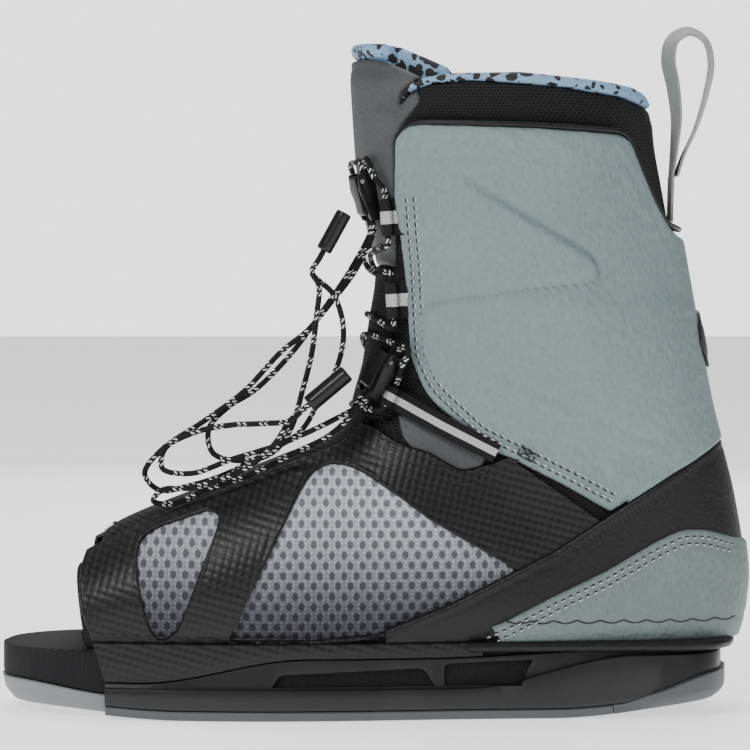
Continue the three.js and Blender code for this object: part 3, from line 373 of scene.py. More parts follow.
# Splits the triangles along one level of the depth.
def cutAlong(param, depth, tris, level):
    param, depth = list(map(tuple, param)), list(depth)
    known = {}

    def crossing(a, b):
        key = (min(a, b), max(a, b))
        if key not in known:
            f = (level - depth[a]) / (depth[b] - depth[a])
            param.append(tuple(param[a][k] + (param[b][k] - param[a][k]) * f for k in (0, 1)))
            depth.append(level)
            known[key] = len(param) - 1
        return known[key]

    side = np.asarray(depth) > level
    count = side[tris].sum(1)
    kept = [tris[(count == 0) | (count == 3)]]
    fresh = []
    for tri in tris[(count == 1) | (count == 2)].tolist():
        flags = [side[v] for v in tri]
        lone = flags.index(sum(flags) == 1)
        a, b, c = tri[lone], tri[(lone + 1) % 3], tri[(lone + 2) % 3]
        ab, ac = crossing(a, b), crossing(a, c)
        fresh += [(a, ab, ac), (ab, b, c), (ab, c, ac)]
    if fresh:
        kept.append(np.array(fresh))
    return np.array(param), np.array(depth), np.concatenate(kept)


# A panel of the upper, cut from the skin along a depth field, with a rounded edge.
def ply(name, finish, body, standsFor, spec):
    low, high = spec["lifts"]
    t0, t1 = spec["t"]
    a0, a1 = spec["theta"]
    rows, across = max(3, int((t1 - t0) * spec.get("rows", 26))), spec.get("across", 200)
    fine = np.linspace(a0, a1, 3000)
    run = runAlong(skin((t0 + t1) / 2, fine, high))
    angles = np.interp(np.linspace(0, run[-1], across), run, fine)
    ts = np.linspace(t0, t1, rows)
    param = np.stack(np.meshgrid(ts, angles, indexing="ij"), -1).reshape(-1, 2)
    depth = spec["depth"](skin(param[:, 0], param[:, 1], (low + high) / 2))
    corner = (np.arange(rows - 1)[:, None] * across + np.arange(across - 1)).ravel()
    quads = np.stack([corner, corner + 1, corner + across + 1, corner + across], 1)
    near = depth[quads].max(1) > 0
    quads = quads[near]
    tris = np.concatenate([quads[:, [0, 1, 2]], quads[:, [0, 2, 3]]])
    edge = spec.get("edge", 0.7)
    for level in (0.0, edge * 0.35, edge):
        param, depth, tris = cutAlong(param, depth, tris, level)
    where = skin(param[:, 0], param[:, 1], (low + high) / 2)
    centre = depth[tris].mean(1)
    tris = tris[centre > 0]
    used, flat = np.unique(tris, return_inverse=True)
    tris = flat.reshape(-1, 3)
    param, depth, where = param[used], np.maximum(depth[used], 0), where[used]
    drop = edge - np.sqrt(np.maximum(edge ** 2 - np.maximum(edge - depth, 0) ** 2, 0))
    lift = high - np.minimum(drop, (high - low) * 0.95)
    if "shape" in spec:
        lift = lift + spec["shape"](where, depth)
    outer = skin(param[:, 0], param[:, 1], lift)
    inner = skin(param[:, 0], param[:, 1], np.minimum(low, lift - 0.05))
    n = len(param)
    a, b, c = [outer[tris[:, k]] for k in range(3)]
    facing = (np.cross(b - a, c - a) * (outer - inner)[tris[:, 0]]).sum()
    if facing < 0:
        tris = tris[:, ::-1]
    edges = np.concatenate([tris[:, [0, 1]], tris[:, [1, 2]], tris[:, [2, 0]]])
    keys = np.sort(edges, 1)
    labels = keys[:, 0] * (n + 1) + keys[:, 1]
    _, first, counts = np.unique(labels, return_index=True, return_counts=True)
    rim = edges[first[counts == 1]]
    walls = np.stack([rim[:, 1], rim[:, 0], rim[:, 0] + n, rim[:, 1] + n], 1)
    faces = tris.tolist() + (tris[:, ::-1] + n).tolist() + walls.tolist()
    points = np.concatenate([outer, inner]) * mm
    if spec.get("wrapUv"):
        arc = np.interp(param[:, 1], angles, np.linspace(0, run[-1], across))
        uv = np.stack([arc, where[:, 2]], 1)
    else:
        uv = where[:, [0, 2]]
    obj = meshObject(name, points, faces, np.concatenate([uv, uv]), 60)
    return finishPiece(obj, finish, body, standsFor)


# A section of (across, out) pairs carried along a path in millimetres.
def sweep(name, path, section, normals=None, sharp=50):
    path = np.asarray(path, float)
    along = unit(np.gradient(path, axis=0))
    if normals is None:
        up = np.array([0.0, 0.0, 1.0]) if abs(along[0][2]) < 0.9 else np.array([1.0, 0.0, 0.0])
        out = [np.cross(np.cross(along[0], up), along[0])]
        for step in along[1:]:
            out.append(unit(out[-1] - step * (out[-1] @ step)))
        out[0] = unit(out[0])
        normals = np.array(out)
    normals = unit(normals - along * (normals * along).sum(1)[:, None])
    across = np.cross(along, normals)
    section = np.asarray(section, float)
    if section.ndim == 2:
        section = np.repeat(section[None], len(path), 0)
    rings = path[:, None] + across[:, None] * section[:, :, :1] + normals[:, None] * section[:, :, 1:]
    count = section.shape[1]
    run = runAlong(path)
    points, uv, faces = [], [], []
    for k in range(len(path)):  # the first section point is doubled, so the pattern has a seam
        for j in range(count + 1):
            points.append(rings[k][j % count])
            uv.append((run[k], j / count))
    w = count + 1
    for k in range(len(path) - 1):
        for j in range(count):
            a = k * w + j
            faces.append([a, a + 1, a + w + 1, a + w])
    for k, order in ((0, -1), (len(path) - 1, 1)):
        points.append(rings[k].mean(0))
        uv.append((run[k], 0.5))
        hub = len(points) - 1
        for j in range(count):
            faces.append([hub, *[k * w + j, k * w + j + 1][::order]])
    return cleaned(meshObject(name, np.array(points) * mm, faces, uv, 0), sharp)


def edited(obj, *steps):
    chosen(obj)
    bpy.ops.object.mode_set(mode="EDIT")
    for step, values in steps:
        bpy.ops.mesh.select_all(action="SELECT")
        step(**values)
    bpy.ops.object.mode_set(mode="OBJECT")


def cleaned(obj, sharp=50, merge=0.00002):
    doubles = bpy.ops.mesh.remove_doubles, {"threshold": merge}
    edited(obj, doubles, (bpy.ops.mesh.normals_make_consistent, {"inside": False}))
    bpy.ops.object.shade_smooth_by_angle(angle=math.radians(sharp))
    return obj


def sliced(obj, *planes):
    cuts = [{"plane_co": at, "plane_no": away, "clear_inner": True, "use_fill": True} for at, away in planes]
    edited(obj, *[(bpy.ops.mesh.bisect, cut) for cut in cuts])


# A centripetal spline through the points, sampled about every step.
def catmull(points, step=1.0):
    p = [np.array(q, float) for q in points]
    p = [2 * p[0] - p[1], *p, 2 * p[-1] - p[-2]]
    path = []
    for a, b, c, d in zip(p, p[1:], p[2:], p[3:]):
        d1, d2, d3 = [max(np.linalg.norm(v - u) ** 0.5, 1e-4) for u, v in ((a, b), (b, c), (c, d))]
        m1 = ((b - a) / d1 - (c - a) / (d1 + d2) + (c - b) / d2) * d2
        m2 = ((c - b) / d2 - (d - b) / (d2 + d3) + (d - c) / d3) * d2
        steps = max(2, int(np.linalg.norm(c - b) / step))
        for f in np.linspace(0, 1, steps, endpoint=False):
            start, leave = 2 * f ** 3 - 3 * f ** 2 + 1, f ** 3 - 2 * f ** 2 + f
            end, enter = 3 * f ** 2 - 2 * f ** 3, f ** 3 - f ** 2
            path.append(start * b + leave * m1 + end * c + enter * m2)
    path.append(p[-2])
    return np.array(path)


def circle(radius, sides=10):
    turns = np.arange(sides) / sides * 2 * np.pi
    return np.stack([np.cos(turns), np.sin(turns)], 1) * radius


lace = {"diameter": 2.4, "sides": 10, "step": 1.3}
locks = {
    "upper": {
        "origin": (-0.781, -20.292, 214.639), "up": (-0.135, -0.041, 0.990),
        "out": (-0.882, -0.450, -0.140), "width": 9, "length": 20, "thick": 8,
    },
    "lower": {
        "origin": (3.5, -26, 140.5), "up": (0.5587, -0.0399, 0.8284),
        "out": (-0.561, -0.754, 0.342), "width": 10, "length": 20, "thick": 8.4,
    },
}
for lock in locks.values():
    lock["up"] = unit(np.array(lock["up"]))
    lock["out"] = unit(np.array(lock["out"]) - lock["up"] * (np.array(lock["out"]) @ lock["up"]))
    lock["across"] = np.cross(lock["up"], lock["out"])
laceSeat = 1.2 + 0.2 + lace["diameter"] / 2
laceOver = 2 + 0.3 + lace["diameter"] / 2
webThick, laceBore = 1.4, 3.2
strapPath = [(6, 132), (16, 126.5), (28, 120), (40, 114), (50, 109)]
loopPaths = {
    "upper": [(4.6, 205.5, 4.2), (9, 205.8, 3.2), (14, 206, 3), (20, 206.3, 3)],
    "lower": [(7, 171.5, 4.2), (12, 171.8, 3.2), (17, 172, 3), (23, 172.3, 3)],
    "strap": [(x, z, 4.6) for x, z in strapPath],
}
loopWidths = {"upper": 15, "lower": 15, "strap": 8.5}
grips = {
    "upper": {
        "from": (-12.5, -38, 207.5), "to": (-21, -38.5, 192), "radius": 3.6, "step": 2.2, "order": (1, 0),
    },
    "lower": {
        "from": (-11.5, -38, 142), "to": (-27, -39, 129), "radius": 4.1, "step": 2.6, "order": (0, 1),
    },
}
looseEnds = {
    "upper": (
        [(-8, -24, 184), (-17, -24, 172), (-28, -24, 159), (-39, -24, 150), (-54, -23, 134), (-70, -21, 122),
         (-89, -17, 109), (-96, -14, 99), (-90, -11, 92), (-77, -11, 94), (-62, -13, 99), (-45, -16, 108),
         (-31, -20, 117), (-23, -23, 130), (-15, -28, 146), (-13, -32, 160), (-17, -35, 174)],
        [(-9, -18, 186), (-21, -17, 168), (-35, -17, 149), (-50, -17, 134), (-61, -17, 127), (-69, -19, 118),
         (-67, -22, 108), (-55, -23, 105), (-43, -25, 108), (-35, -27, 118), (-30, -28, 134), (-26, -31, 150),
         (-24, -36, 165), (-23, -39.5, 178)],
    ),
    "lower": (
        [(-14, -32, 124), (-26, -32, 118), (-40, -31, 112), (-59, -29, 106), (-76, -27, 100), (-88, -25, 102),
         (-87, -23, 110), (-74, -24, 117), (-60, -28, 120), (-46, -34, 121)],
        [(-12, -27, 122), (-20, -25, 115), (-34, -22, 108), (-52, -21, 99), (-70, -20, 93), (-84, -19, 87),
         (-92, -20, 88), (-88, -24, 93), (-76, -26, 94), (-60, -28, 99), (-48, -32, 106), (-41, -36, 113)],
    ),
}


def inLock(zone, x, y, z):
    lock = locks[zone]
    return np.array(lock["origin"]) + lock["across"] * x + lock["up"] * y + lock["out"] * z


def rollOf(path, side, width):
    (x, z, lift), (nextX, nextZ, _lift) = path[0], path[1]
    at = onSkin(x, z, side, lift)
    along = unit(onSkin(nextX, nextZ, side, lift) - at)
    out = unit(onSkin(x, z, side, lift + 1) - at)
    return at + out * (laceBore + webThick) / 2, unit(np.cross(along, out)) * width / 2


def throughRoll(kind, side, downwards):
    centre, across = rollOf(loopPaths[kind], side, loopWidths[kind])
    up = across if across[2] > 0 else -across
    places = [centre + up * k for k in (1.5, 0.75, -0.75, -1.5)]
    return places if downwards else places[::-1]


def lockEnd(zone, side):
    half = locks[zone]["length"] / 2
    return [inLock(zone, side * 1.4, y, laceSeat) for y in (1, half, half + 2.5)]


def roundCheek(zone, fall):
    x, half = locks[zone]["width"] / 2, locks[zone]["length"] / 2
    spots = ((x - 0.5, half + 5.6, 0.3), (x + 2.4, half + 3.2, 0.6), (x + 2.9, half - fall, 0.6))
    return [inLock(zone, a, b, laceSeat + c) for a, b, c in spots]


def over(t, theta, extra):
    return skin(t, theta, laceOver + extra)


def gripAxes(zone):
    grip = grips[zone]
    a, b = np.array(grip["from"], float), np.array(grip["to"], float)
    along = unit(b - a)
    across = unit(np.array([0, 1, 0]) - along * along[1])
    return [(a + across * k, b + across * k) for k in (-grip["step"], grip["step"])]


def looseLace(zone, which):
    side, half = (1, -1)[which], locks[zone]["length"] / 2
    seats = [inLock(zone, side * 1.4, y, laceSeat) for y in (-1, -half, -half - 4)]
    a, b = gripAxes(zone)[grips[zone]["order"][which]]
    inside = np.linalg.norm(b - a) - 2
    along = unit(a - b)
    return seats + [np.array(p, float) for p in looseEnds[zone][which]] + [
        b + along * d for d in (-10, -4, 2, inside / 2, inside)
    ]


laceRoutes = {
    "upper_lacing": [
        *lockEnd("upper", 1), *roundCheek("upper", 0.5), *throughRoll("upper", -1, True),
        over(10.25, -0.35, 1.2), over(10.05, 0, 1.2), over(9.8, 0.35, 1.2), *throughRoll("lower", 1, True),
        over(8.75, 0.35, 1), over(8.7, 0, 1), over(8.7, -0.35, 1), *throughRoll("lower", -1, False),
        over(9.8, -0.35, 4.4), over(10.05, 0, 4.6), over(10.25, 0.35, 4.4), *throughRoll("upper", 1, False),
        over(10.9, 0.35, 1.4), over(11.12, 0.02, 2.2), *lockEnd("upper", -1)[::-1],
    ],
    "lower_lacing": [
        *lockEnd("lower", 1), *roundCheek("lower", 1), *throughRoll("strap", -1, True),
        over(5.9, -0.35, 1.8), over(5.9, 0.35, 1.8), *throughRoll("strap", 1, False),
        over(7.7, 0.3, 1.2), over(8.1, -0.1, 1.6), *lockEnd("lower", -1)[::-1],
    ],
}
for zone in locks:
    for which in (0, 1):
        laceRoutes[f"{zone}_lace_end_{which + 1}"] = looseLace(zone, which)

braid = Finish("laceBraid", (0.008, 0.007, 0.007), 0.72, shine=0.25)
run, turn, _ = braid.split(braid.place("UV"))
twist = run * 0.55
strands = abs((turn * 8 + twist).part() - 0.5) * abs((turn * 8 - twist).part() - 0.5) * 4
cycle = (run / 10.4).part()
pair = abs((cycle * 4).part() - 0.5) < 0.3
dash = ((turn * 4 + run * 0.42).part() > 0.55) * (cycle < 0.5) * pair
dark = braid.mix(strands, (0.012, 0.011, 0.011), (0.003, 0.003, 0.003))
braid.set("Base Color", braid.mix(dash, dark, (0.8, 0.81, 0.82)))
braid.bump(strands * -1 + braid.noise(900, 2) * 0.3, 0.0005, 0.8)

laces = {}
for name, route in laceRoutes.items():
    path = catmull(route, lace["step"])
    piece = sweep(f"{name}_cord", path, circle(lace["diameter"] / 2, lace["sides"]), sharp=80)
    finishPiece(piece, braid, None if name.startswith("upper") else "boot", (name,))
    laces[name] = (piece, path)

gripRubber = Finish("gripRubber", (0.006, 0.006, 0.006), 0.3, shine=0.35)
gripRubber.set("Roughness", 0.24 + gripRubber.noise(220, 3) * 0.2)
gripRubber.bump(gripRubber.noise(500, 2), 0.0002, 0.3)


def makeGrip(zone):
    grip = grips[zone]
    (a, b), (c, d) = gripAxes(zone)
    start, end = (a + c) / 2, (b + d) / 2
    turns = np.linspace(0, 2 * np.pi, 48, endpoint=False)
    waist = 1 - 0.16 * np.exp(-((np.cos(turns) / 0.3) ** 2))
    radius = grip["radius"]
    oval = np.stack([np.cos(turns) * (grip["step"] + radius), np.sin(turns) * radius * waist], 1)
    ends = [0.0, 0.25, 0.7, 1.4]
    length = np.linalg.norm(end - start)
    spots = [*ends, *np.linspace(3, length - 3, 9), *[length - v for v in ends[::-1]]]
    rounding = [0.86, 0.94, 0.985, 1.0]
    scale = np.array([*rounding, *[1.0] * 9, *rounding[::-1]])
    path = np.array([start + (end - start) * (v / length) for v in spots])
    normals = np.repeat(np.cross(unit(c - a), (end - start) / length)[None], len(path), 0)
    piece = sweep(f"{zone}_grip_sleeve", path, oval[None] * scale[:, None, None], normals)
    return finishPiece(piece, gripRubber, f"{zone}_grip", (f"{zone}_handle",))


gripSleeves = {zone: makeGrip(zone) for zone in grips}
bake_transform(laces["upper_lacing"][0])
for name in ("upper_lace_end_1", "upper_lace_end_2"):
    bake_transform(laces[name][0])
for name, (piece, path) in laces.items():
    if "_lace_end_" in name:
        first = name.endswith("1")
        [gripSleeves[name.split("_")[0]]] if first else []
print("stage: laces")


def leather(name, colour, darker, roughness, grain, depth, shine):
    made = Finish(name, colour, roughness, shine)
    clouds = made.noise(28, 4)
    upright = made.node("Mapping", None, 0, Vector=made.place(), Scale=(1, 1, 0.55))
    pebbles = made.cells(grain, upright, "SMOOTH_F1")
    creases = made.noise(grain * 0.5, 5, upright, 0.65)
    made.set("Base Color", made.mix(clouds * 0.5 + pebbles * 0.35 + creases * 0.35 - 0.1, darker, colour))
    made.set("Roughness", roughness - 0.06 + clouds * 0.12)
    made.bump(pebbles * 0.9 + creases * 0.8, depth, 0.8)
    return made


sageLeather = leather("sageLeather", (0.235, 0.3, 0.302), (0.13, 0.175, 0.176), 0.5, 620, 0.0008, 0.4)
counterLeather = leather("counterLeather", (0.185, 0.235, 0.228), (0.1, 0.135, 0.13), 0.5, 620, 0.0008, 0.4)
blackLeather = leather("blackLeather", (0.009, 0.009, 0.009), (0.005, 0.005, 0.005), 0.42, 1100, 0.0002, 0.3)
greyLeather = leather("greyLeather", (0.075, 0.077, 0.08), (0.052, 0.054, 0.057), 0.46, 900, 0.00025, 0.3)

vampLeather = Finish("vampLeather", (0.008, 0.008, 0.008), 0.5, shine=0.3)
px, py, pz = vampLeather.split(vampLeather.place())
diagonal, counter = (px * 0.86 + pz * 0.5) * 1500, (px * -0.5 + pz * 0.86) * 1500
weave = diagonal.sine() * counter.sine()
vampTone = vampLeather.mix(weave * 0.5 + 0.5, (0.004, 0.004, 0.004), (0.013, 0.013, 0.013))
vampLeather.set("Base Color", vampTone)
vampLeather.set("Roughness", 0.42 + weave * 0.07)
vampLeather.bump(weave * 0.9 + vampLeather.noise(1500, 2) * 0.6, 0.00022, 0.5)


# A knit's holes in staggered rows: each point's place in its own cell, in millimetres.
def staggered(u, v, wide, high):
    row = v / high
    odd = (row.maths("FLOOR") * 0.5).part() * 2
    return ((u / wide + odd * 0.5).part() - 0.5) * wide, (row.part() - 0.5) * high


def ovalRing(cellU, cellV, halfU, halfV):
    return ((cellU / halfU) * (cellU / halfU) + (cellV / halfV) * (cellV / halfV)) ** 0.5


windowMesh = Finish("windowMesh", (0.5, 0.51, 0.53), 0.62, shine=0.25)
u, v, _ = windowMesh.split(windowMesh.place("UV"))
rough = windowMesh.noise(1.6, 2, windowMesh.place("UV"))
ring = ovalRing(*staggered(u, v, 5.0, 4.1), 1.2, 1.6) + (rough - 0.5) * 0.7
hole = windowMesh.smooth(ring, 0.8, 1.15, 1.0, 0.0)
ripple = (u * 2.6).sine()
yarn = (ripple * 0.5 + 0.5) * ((v * 3.4 + ripple * 1.3).sine() * 0.5 + 0.5)
shade = windowMesh.smooth(v, 36, 100)  # paler towards the top
thread = windowMesh.mix(shade, (0.1, 0.1, 0.12), (0.85, 0.86, 0.9))
darker = windowMesh.mix(shade, (0.04, 0.04, 0.048), (0.45, 0.46, 0.5))
deep = windowMesh.mix(shade, (0.012, 0.012, 0.016), (0.16, 0.17, 0.19))
windowMesh.set("Base Color", windowMesh.mix(hole, windowMesh.mix(yarn * 0.75, darker, thread), deep))
windowMesh.bump(yarn * 0.4 - hole * 1.0, 0.0007, 0.8)

collarMesh = Finish("collarMesh", (0.008, 0.008, 0.009), 0.7, shine=0.2)
u, v, _ = collarMesh.split(collarMesh.place("UV"))
eye = collarMesh.smooth(ovalRing(*staggered(u, v, 2.3, 1.25), 0.75, 0.42), 0.7, 1.25, 1.0, 0.0)
collarMesh.set("Base Color", collarMesh.mix(eye, (0.016, 0.016, 0.017), (0.002, 0.002, 0.002)))
collarMesh.bump(eye * -1 + collarMesh.noise(1800, 2) * 0.3, 0.0008, 0.9)

printCloth = Finish("printCloth", (0.25, 0.42, 0.6), 0.65, shine=0.3)
px, py, pz = printCloth.split(printCloth.place())
wander = printCloth.node("TexNoise", None, 1, Vector=printCloth.place(), Scale=120.0, Detail=2.0)
addScaled = {"operation": "MULTIPLY_ADD"}
reach = (0.006, 0.006, 0.006)
spotPlace = printCloth.node("VectorMath", addScaled, 0, _0=wander, _1=reach, _2=printCloth.place())
spotCells = printCloth.cells(230, spotPlace)
spotSize = printCloth.noise(45, 2)
low = printCloth.smooth(px * 1000 - (pz * 1000 - 240) * 3, 20, 90, 0.16, -0.2)
spots = spotCells < (spotSize * 0.8 - 0.08 + low)
twill = ((px + pz * 1.2 + py * 0.7) * 5200).sine() * 0.5 + 0.5
fade = printCloth.noise(30, 2)
cloth = printCloth.mix(twill * 0.4 + fade * 0.4, (0.17, 0.3, 0.46), (0.32, 0.48, 0.64))
printCloth.set("Base Color", printCloth.mix(spots, cloth, (0.022, 0.022, 0.027)))
printCloth.bump(twill, 0.00015, 0.5)

webbing = Finish("webbing", (0.007, 0.007, 0.008), 0.75, shine=0.25)
u, v, _ = webbing.split(webbing.place("UV"))
pick = (u * 4.2).sine() * (v * 62.8 * 2).sine()
inStripe = abs((v * 2).part() - 0.43) < 0.15
webTone = webbing.mix(pick * 0.5 + 0.5, (0.003, 0.003, 0.004), (0.017, 0.017, 0.018))
whiteTone = webbing.mix(pick * 0.5 + 0.5, (0.45, 0.45, 0.44), (0.62, 0.62, 0.61))
webbing.set("Base Color", webbing.mix(inStripe, webTone, whiteTone))
webbing.bump(pick, 0.0003, 0.8)

loopTape = Finish("loopTape", (0.5, 0.51, 0.5), 0.7, shine=0.3)
u, v, _ = loopTape.split(loopTape.place("UV"))
pick = (u * 5.2).sine() * (v * 250).sine()
liningSide = (v > 0.5) * (v < 0.97)
worn = loopTape.noise(260, 3)
pale = loopTape.mix(pick * 0.3 + worn * 0.5, (0.36, 0.37, 0.36), (0.62, 0.63, 0.62))
loopTape.set("Base Color", loopTape.mix(liningSide, pale, (0.05, 0.05, 0.055)))
loopTape.bump(pick + worn, 0.0003, 0.7)

blackThread = Finish("blackThread", (0.01, 0.01, 0.01), 0.55)
paleThread = Finish("paleThread", (0.62, 0.64, 0.62), 0.55)
for made in (blackThread, paleThread):
    made.bump(made.noise(3000, 2), 0.0002, 0.6)
print("stage: finishes")


# The upper's outlines, as (x, z, corner radius) in side view.
upperFoot = 31.5
vampTop = [(-122, 62, 6), (-118, 74, 4), (-92, 92), (-20, 122), (-2, 120, 4), (11, 112, 4), (23, 108.5),
           (35, 101.5, 5), (40, 102), (63, 110, 3)]
vampFoot = [(112, 96), (100, 76), (55, 52), (22, 40), (2, 34), (-10, 31.5), (-116, 31.5), (-121, 45)]
vampLine = rounded(vampTop + vampFoot)
bandTop = [(-40, 29.5), (-18, 32.5), (2, 36), (11, 39.5), (32, 48), (56, 60), (73, 68.5), (101, 86.5),
           (165, 128)]
counterTop = [(36, 33.5), (53, 39.5), (73, 50), (94, 60), (115, 72), (126, 77, 4), (136, 77, 4), (165, 68)]
bigWindow = rounded([(-60, 32.5, 3), (-30, 95, 6), (-25, 102, 4), (-17, 105, 5), (-7, 102.5, 6), (10, 91),
                     (22, 82), (58, 61), (31, 46), (2, 35), (-25, 32.5)])
smallWindow = rounded([(-98, 69, 3), (-96, 74, 4), (-90, 78, 4), (-68, 85.5, 3), (-64, 83, 3), (-65, 78, 4),
                       (-80, 38, 4), (-85, 33, 3), (-89, 33, 3), (-93, 39, 5), (-97, 56, 6)])
meshLine = rounded([(-101, 33), (-103, 72), (-70, 90), (-16, 110), (2, 106), (58, 70), (66, 60), (30, 31.5),
                    (-92, 31.5)], 4)
cuffTop = [(125, 198, 3), (120, 202, 3), (114, 212, 6), (107, 228, 6), (102.5, 239.5, 6), (63, 242),
           (15, 243.5, 6), (9.3, 239, 5)]
cuffFront = [(9, 215), (10.5, 200), (12, 185), (14, 149), (20, 133, 8)]
cuffFoot = [(42, 113.5), (78, 95.5), (99, 83.5, 2)]
cuffLine = rounded(cuffFront + cuffFoot + [(165, 126), (165, 190)] + cuffTop)
collarEdge = [(10.5, 251, 3), (14, 256, 5), (22, 259.5, 4), (39, 261), (71, 259), (100, 255), (112, 251),
              (130, 246)]
bindingTop = [(11, 256, 3), (16, 261, 4), (26, 264, 5), (59, 264.5), (91, 261.5), (108, 259, 4), (114, 254),
              (130, 250)]
throatHalf, throatMiddle = 19, float(swingAt(-60))
openEdge, tongueEdge, tongueSeam = 8.7, 8.4, 185
sides = {"outer": (-math.pi, 0), "inner": (0, math.pi)}
around = (0.02, 2 * math.pi - 0.02)
front = (-2.2, 2.2)


def flat(where):
    return where[:, [0, 2]]


# A slow unevenness of about one, from five crossing waves.
def wave(where, size, seed):
    turns = [where @ np.random.default_rng(seed + k).normal(0, 1 / size, 3) * 2 + k * 1.7 for k in range(5)]
    return sum(np.sin(turn) for turn in turns) / 5


def throatDepth(where):
    clear = np.abs(where[:, 1] - throatMiddle) - throatHalf
    return np.where((where[:, 0] < 14) & (where[:, 2] > 40), clear, 99)


def groove(distance, at, width, depth):
    return -depth * np.exp(-(((distance - at) / width) ** 2))


def vampDepth(where):
    p = flat(where)
    windows = np.maximum(depthIn(p, bigWindow), depthIn(p, smallWindow))
    return np.minimum(np.minimum(depthIn(p, vampLine), -windows), throatDepth(where))


def vampShape(where, depth):
    return groove(depth, 2.2, 0.7, 0.22) + wave(where, 22, 3) * 0.35 * smoothStep(depth, 0, 8)


def meshDepth(where):
    return np.minimum(depthIn(flat(where), meshLine), throatDepth(where))


def meshShape(where, depth):
    inside = np.maximum(depthIn(flat(where), bigWindow), depthIn(flat(where), smallWindow))
    return 0.55 * smoothStep(inside, 0, 9)


for word, theta in sides.items():
    ply(f"vamp_{word}_panel", vampLeather, "boot", (f"vamp_{word}",), {
        "lifts": (1.6, 3.2), "t": (-0.7, 7.6), "theta": theta, "rows": 24, "across": 150,
        "edge": 0.8, "depth": vampDepth, "shape": vampShape,
    })
    ply(f"mesh_{word}_panel", windowMesh, "boot", (f"mesh_{word}",), {
        "lifts": (0.3, 1.3), "t": (-0.3, 7.4), "theta": theta, "rows": 14, "across": 90,
        "edge": 0.4, "depth": meshDepth, "shape": meshShape,
    })
print("stage: vamp and mesh")

bandLine = rounded(bandTop + [(170, 20), (-40, 20)])


def bandDepth(where):
    p = flat(where)
    return np.minimum(np.minimum(depthIn(p, bandLine), where[:, 2] - upperFoot), where[:, 0] - 4)


def bandShape(where, depth):
    edge = depthIn(flat(where), bandLine)
    return groove(edge, 3.2, 0.5, 0.35) + 0.35 * np.exp(-(((edge - 1.4) / 1.0) ** 2))


ply("heel_band_panel", blackLeather, "boot", ("heel_band",), {
    "lifts": (3.3, 5.0), "t": (3.4, 9.6), "theta": around, "rows": 26, "across": 250,
    "edge": 0.9, "depth": bandDepth, "shape": bandShape, "wrapUv": True,
})
counterLine = rounded(counterTop + [(165, upperFoot), (36, upperFoot)])


def counterDepth(where):
    return depthIn(flat(where), counterLine)


def counterShape(where, depth):
    edge = depthIn(flat(where), counterLine)
    sag = where[:, 2] - 40.5
    return groove(edge, 2.6, 0.7, 0.2) + groove(edge, 5.4, 0.7, 0.2) + groove(sag, 0, 1.1, 0.35)


ply("heel_counter_panel", counterLeather, "boot", ("heel_counter",), {
    "lifts": (5.4, 7.0), "t": (5.2, 9.0), "theta": around, "rows": 30, "across": 250,
    "edge": 0.8, "depth": counterDepth, "shape": counterShape, "wrapUv": True,
})

# The cuff's pressed lines: one under the top edge, and a long blunt arrow.
arrow = rounded([(38, 221), (86, 192), (90.5, 187.5, 4), (91, 181, 4), (86, 178.5, 4), (66, 176.5),
                 (24, 170.5, 2), (21, 167)], 0, 8, False)
arrowInside = rounded([(20, 232), (38, 221), (88, 190.5, 4), (91, 186, 5), (90, 180, 4), (20, 171)])
crease = rounded([(30, 152), (62, 136), (118, 112)], 0, 4, False)
cuffLow = rounded([(24, 156), (62, 137), (122, 111), (150, 90), (100, 60), (20, 100)])
topLine = [(17, 236.5), (62, 234), (98, 231.5, 5), (104, 222, 6), (112, 207), (120, 192)]
topLine = rounded(topLine, 0, 8, False)
underTopLine = rounded([(0, 170), (17, 236.5), (62, 234), (98, 231.5, 5), (112, 207), (120, 192), (130, 170)])


def cuffDepth(where):
    p = flat(where)
    under = bandTop[4:]
    line = np.interp(where[:, 0], [q[0] for q in under], [q[1] for q in under])
    return np.minimum(depthIn(p, cuffLine), (where[:, 2] - line - 0.4) * 0.86)


def cuffShape(where, depth):
    p = flat(where)
    edge = depthIn(p, cuffLine)
    lower = np.where((where[:, 0] < 100) & (where[:, 2] < 205), edge, 99)
    seams = groove(lower, 2.4, 0.6, 0.25) + groove(lower, 5.6, 0.6, 0.25)
    fade = smoothStep(where[:, 0], 26, 60)
    lines = groove(distanceTo(p, arrow), 0, 1.1, 1.0) + groove(distanceTo(p, topLine), 0, 1.0, 0.5)
    puff = 1.5 * smoothStep(depthIn(p, arrowInside), 0, 2.6) * fade
    puff = puff - 0.7 * smoothStep(depthIn(p, underTopLine), 0, 5)
    folds = groove(distanceTo(p, crease), 0, 2.2, 0.5) - 0.6 * smoothStep(depthIn(p, cuffLow), 0, 9)
    thin = -2.4 * smoothStep(210 - where[:, 2], 0, 60) * smoothStep(8 - edge, 0, 8) * (where[:, 0] < 104)
    return seams + lines + puff + folds + thin + wave(where, 30, 11) * 0.3 * smoothStep(edge, 2, 12)


ply("cuff_panel", sageLeather, "boot", ("cuff",), {
    "lifts": (0.3, 5.9), "t": (6.1, 12.7), "theta": around, "rows": 28, "across": 260,
    "edge": 2.0, "depth": cuffDepth, "shape": cuffShape, "wrapUv": True,
})
print("stage: cuff")

linerLine = rounded(collarEdge + [(170, 240), (170, 20), (-118, 20), (-124, 60, 4), (-112, 100), (-60, 140),
                                  (-60, 250)])


def linerDepth(where):
    shin = np.where(where[:, 2] > 121, where[:, 0] - openEdge, 99)
    clear = np.abs(where[:, 1] - throatMiddle) - throatHalf
    foot = np.where((where[:, 2] <= 122) & (where[:, 0] < 14), clear, 99)
    return np.minimum.reduce([depthIn(flat(where), linerLine), shin, foot, where[:, 2] - 28.3])


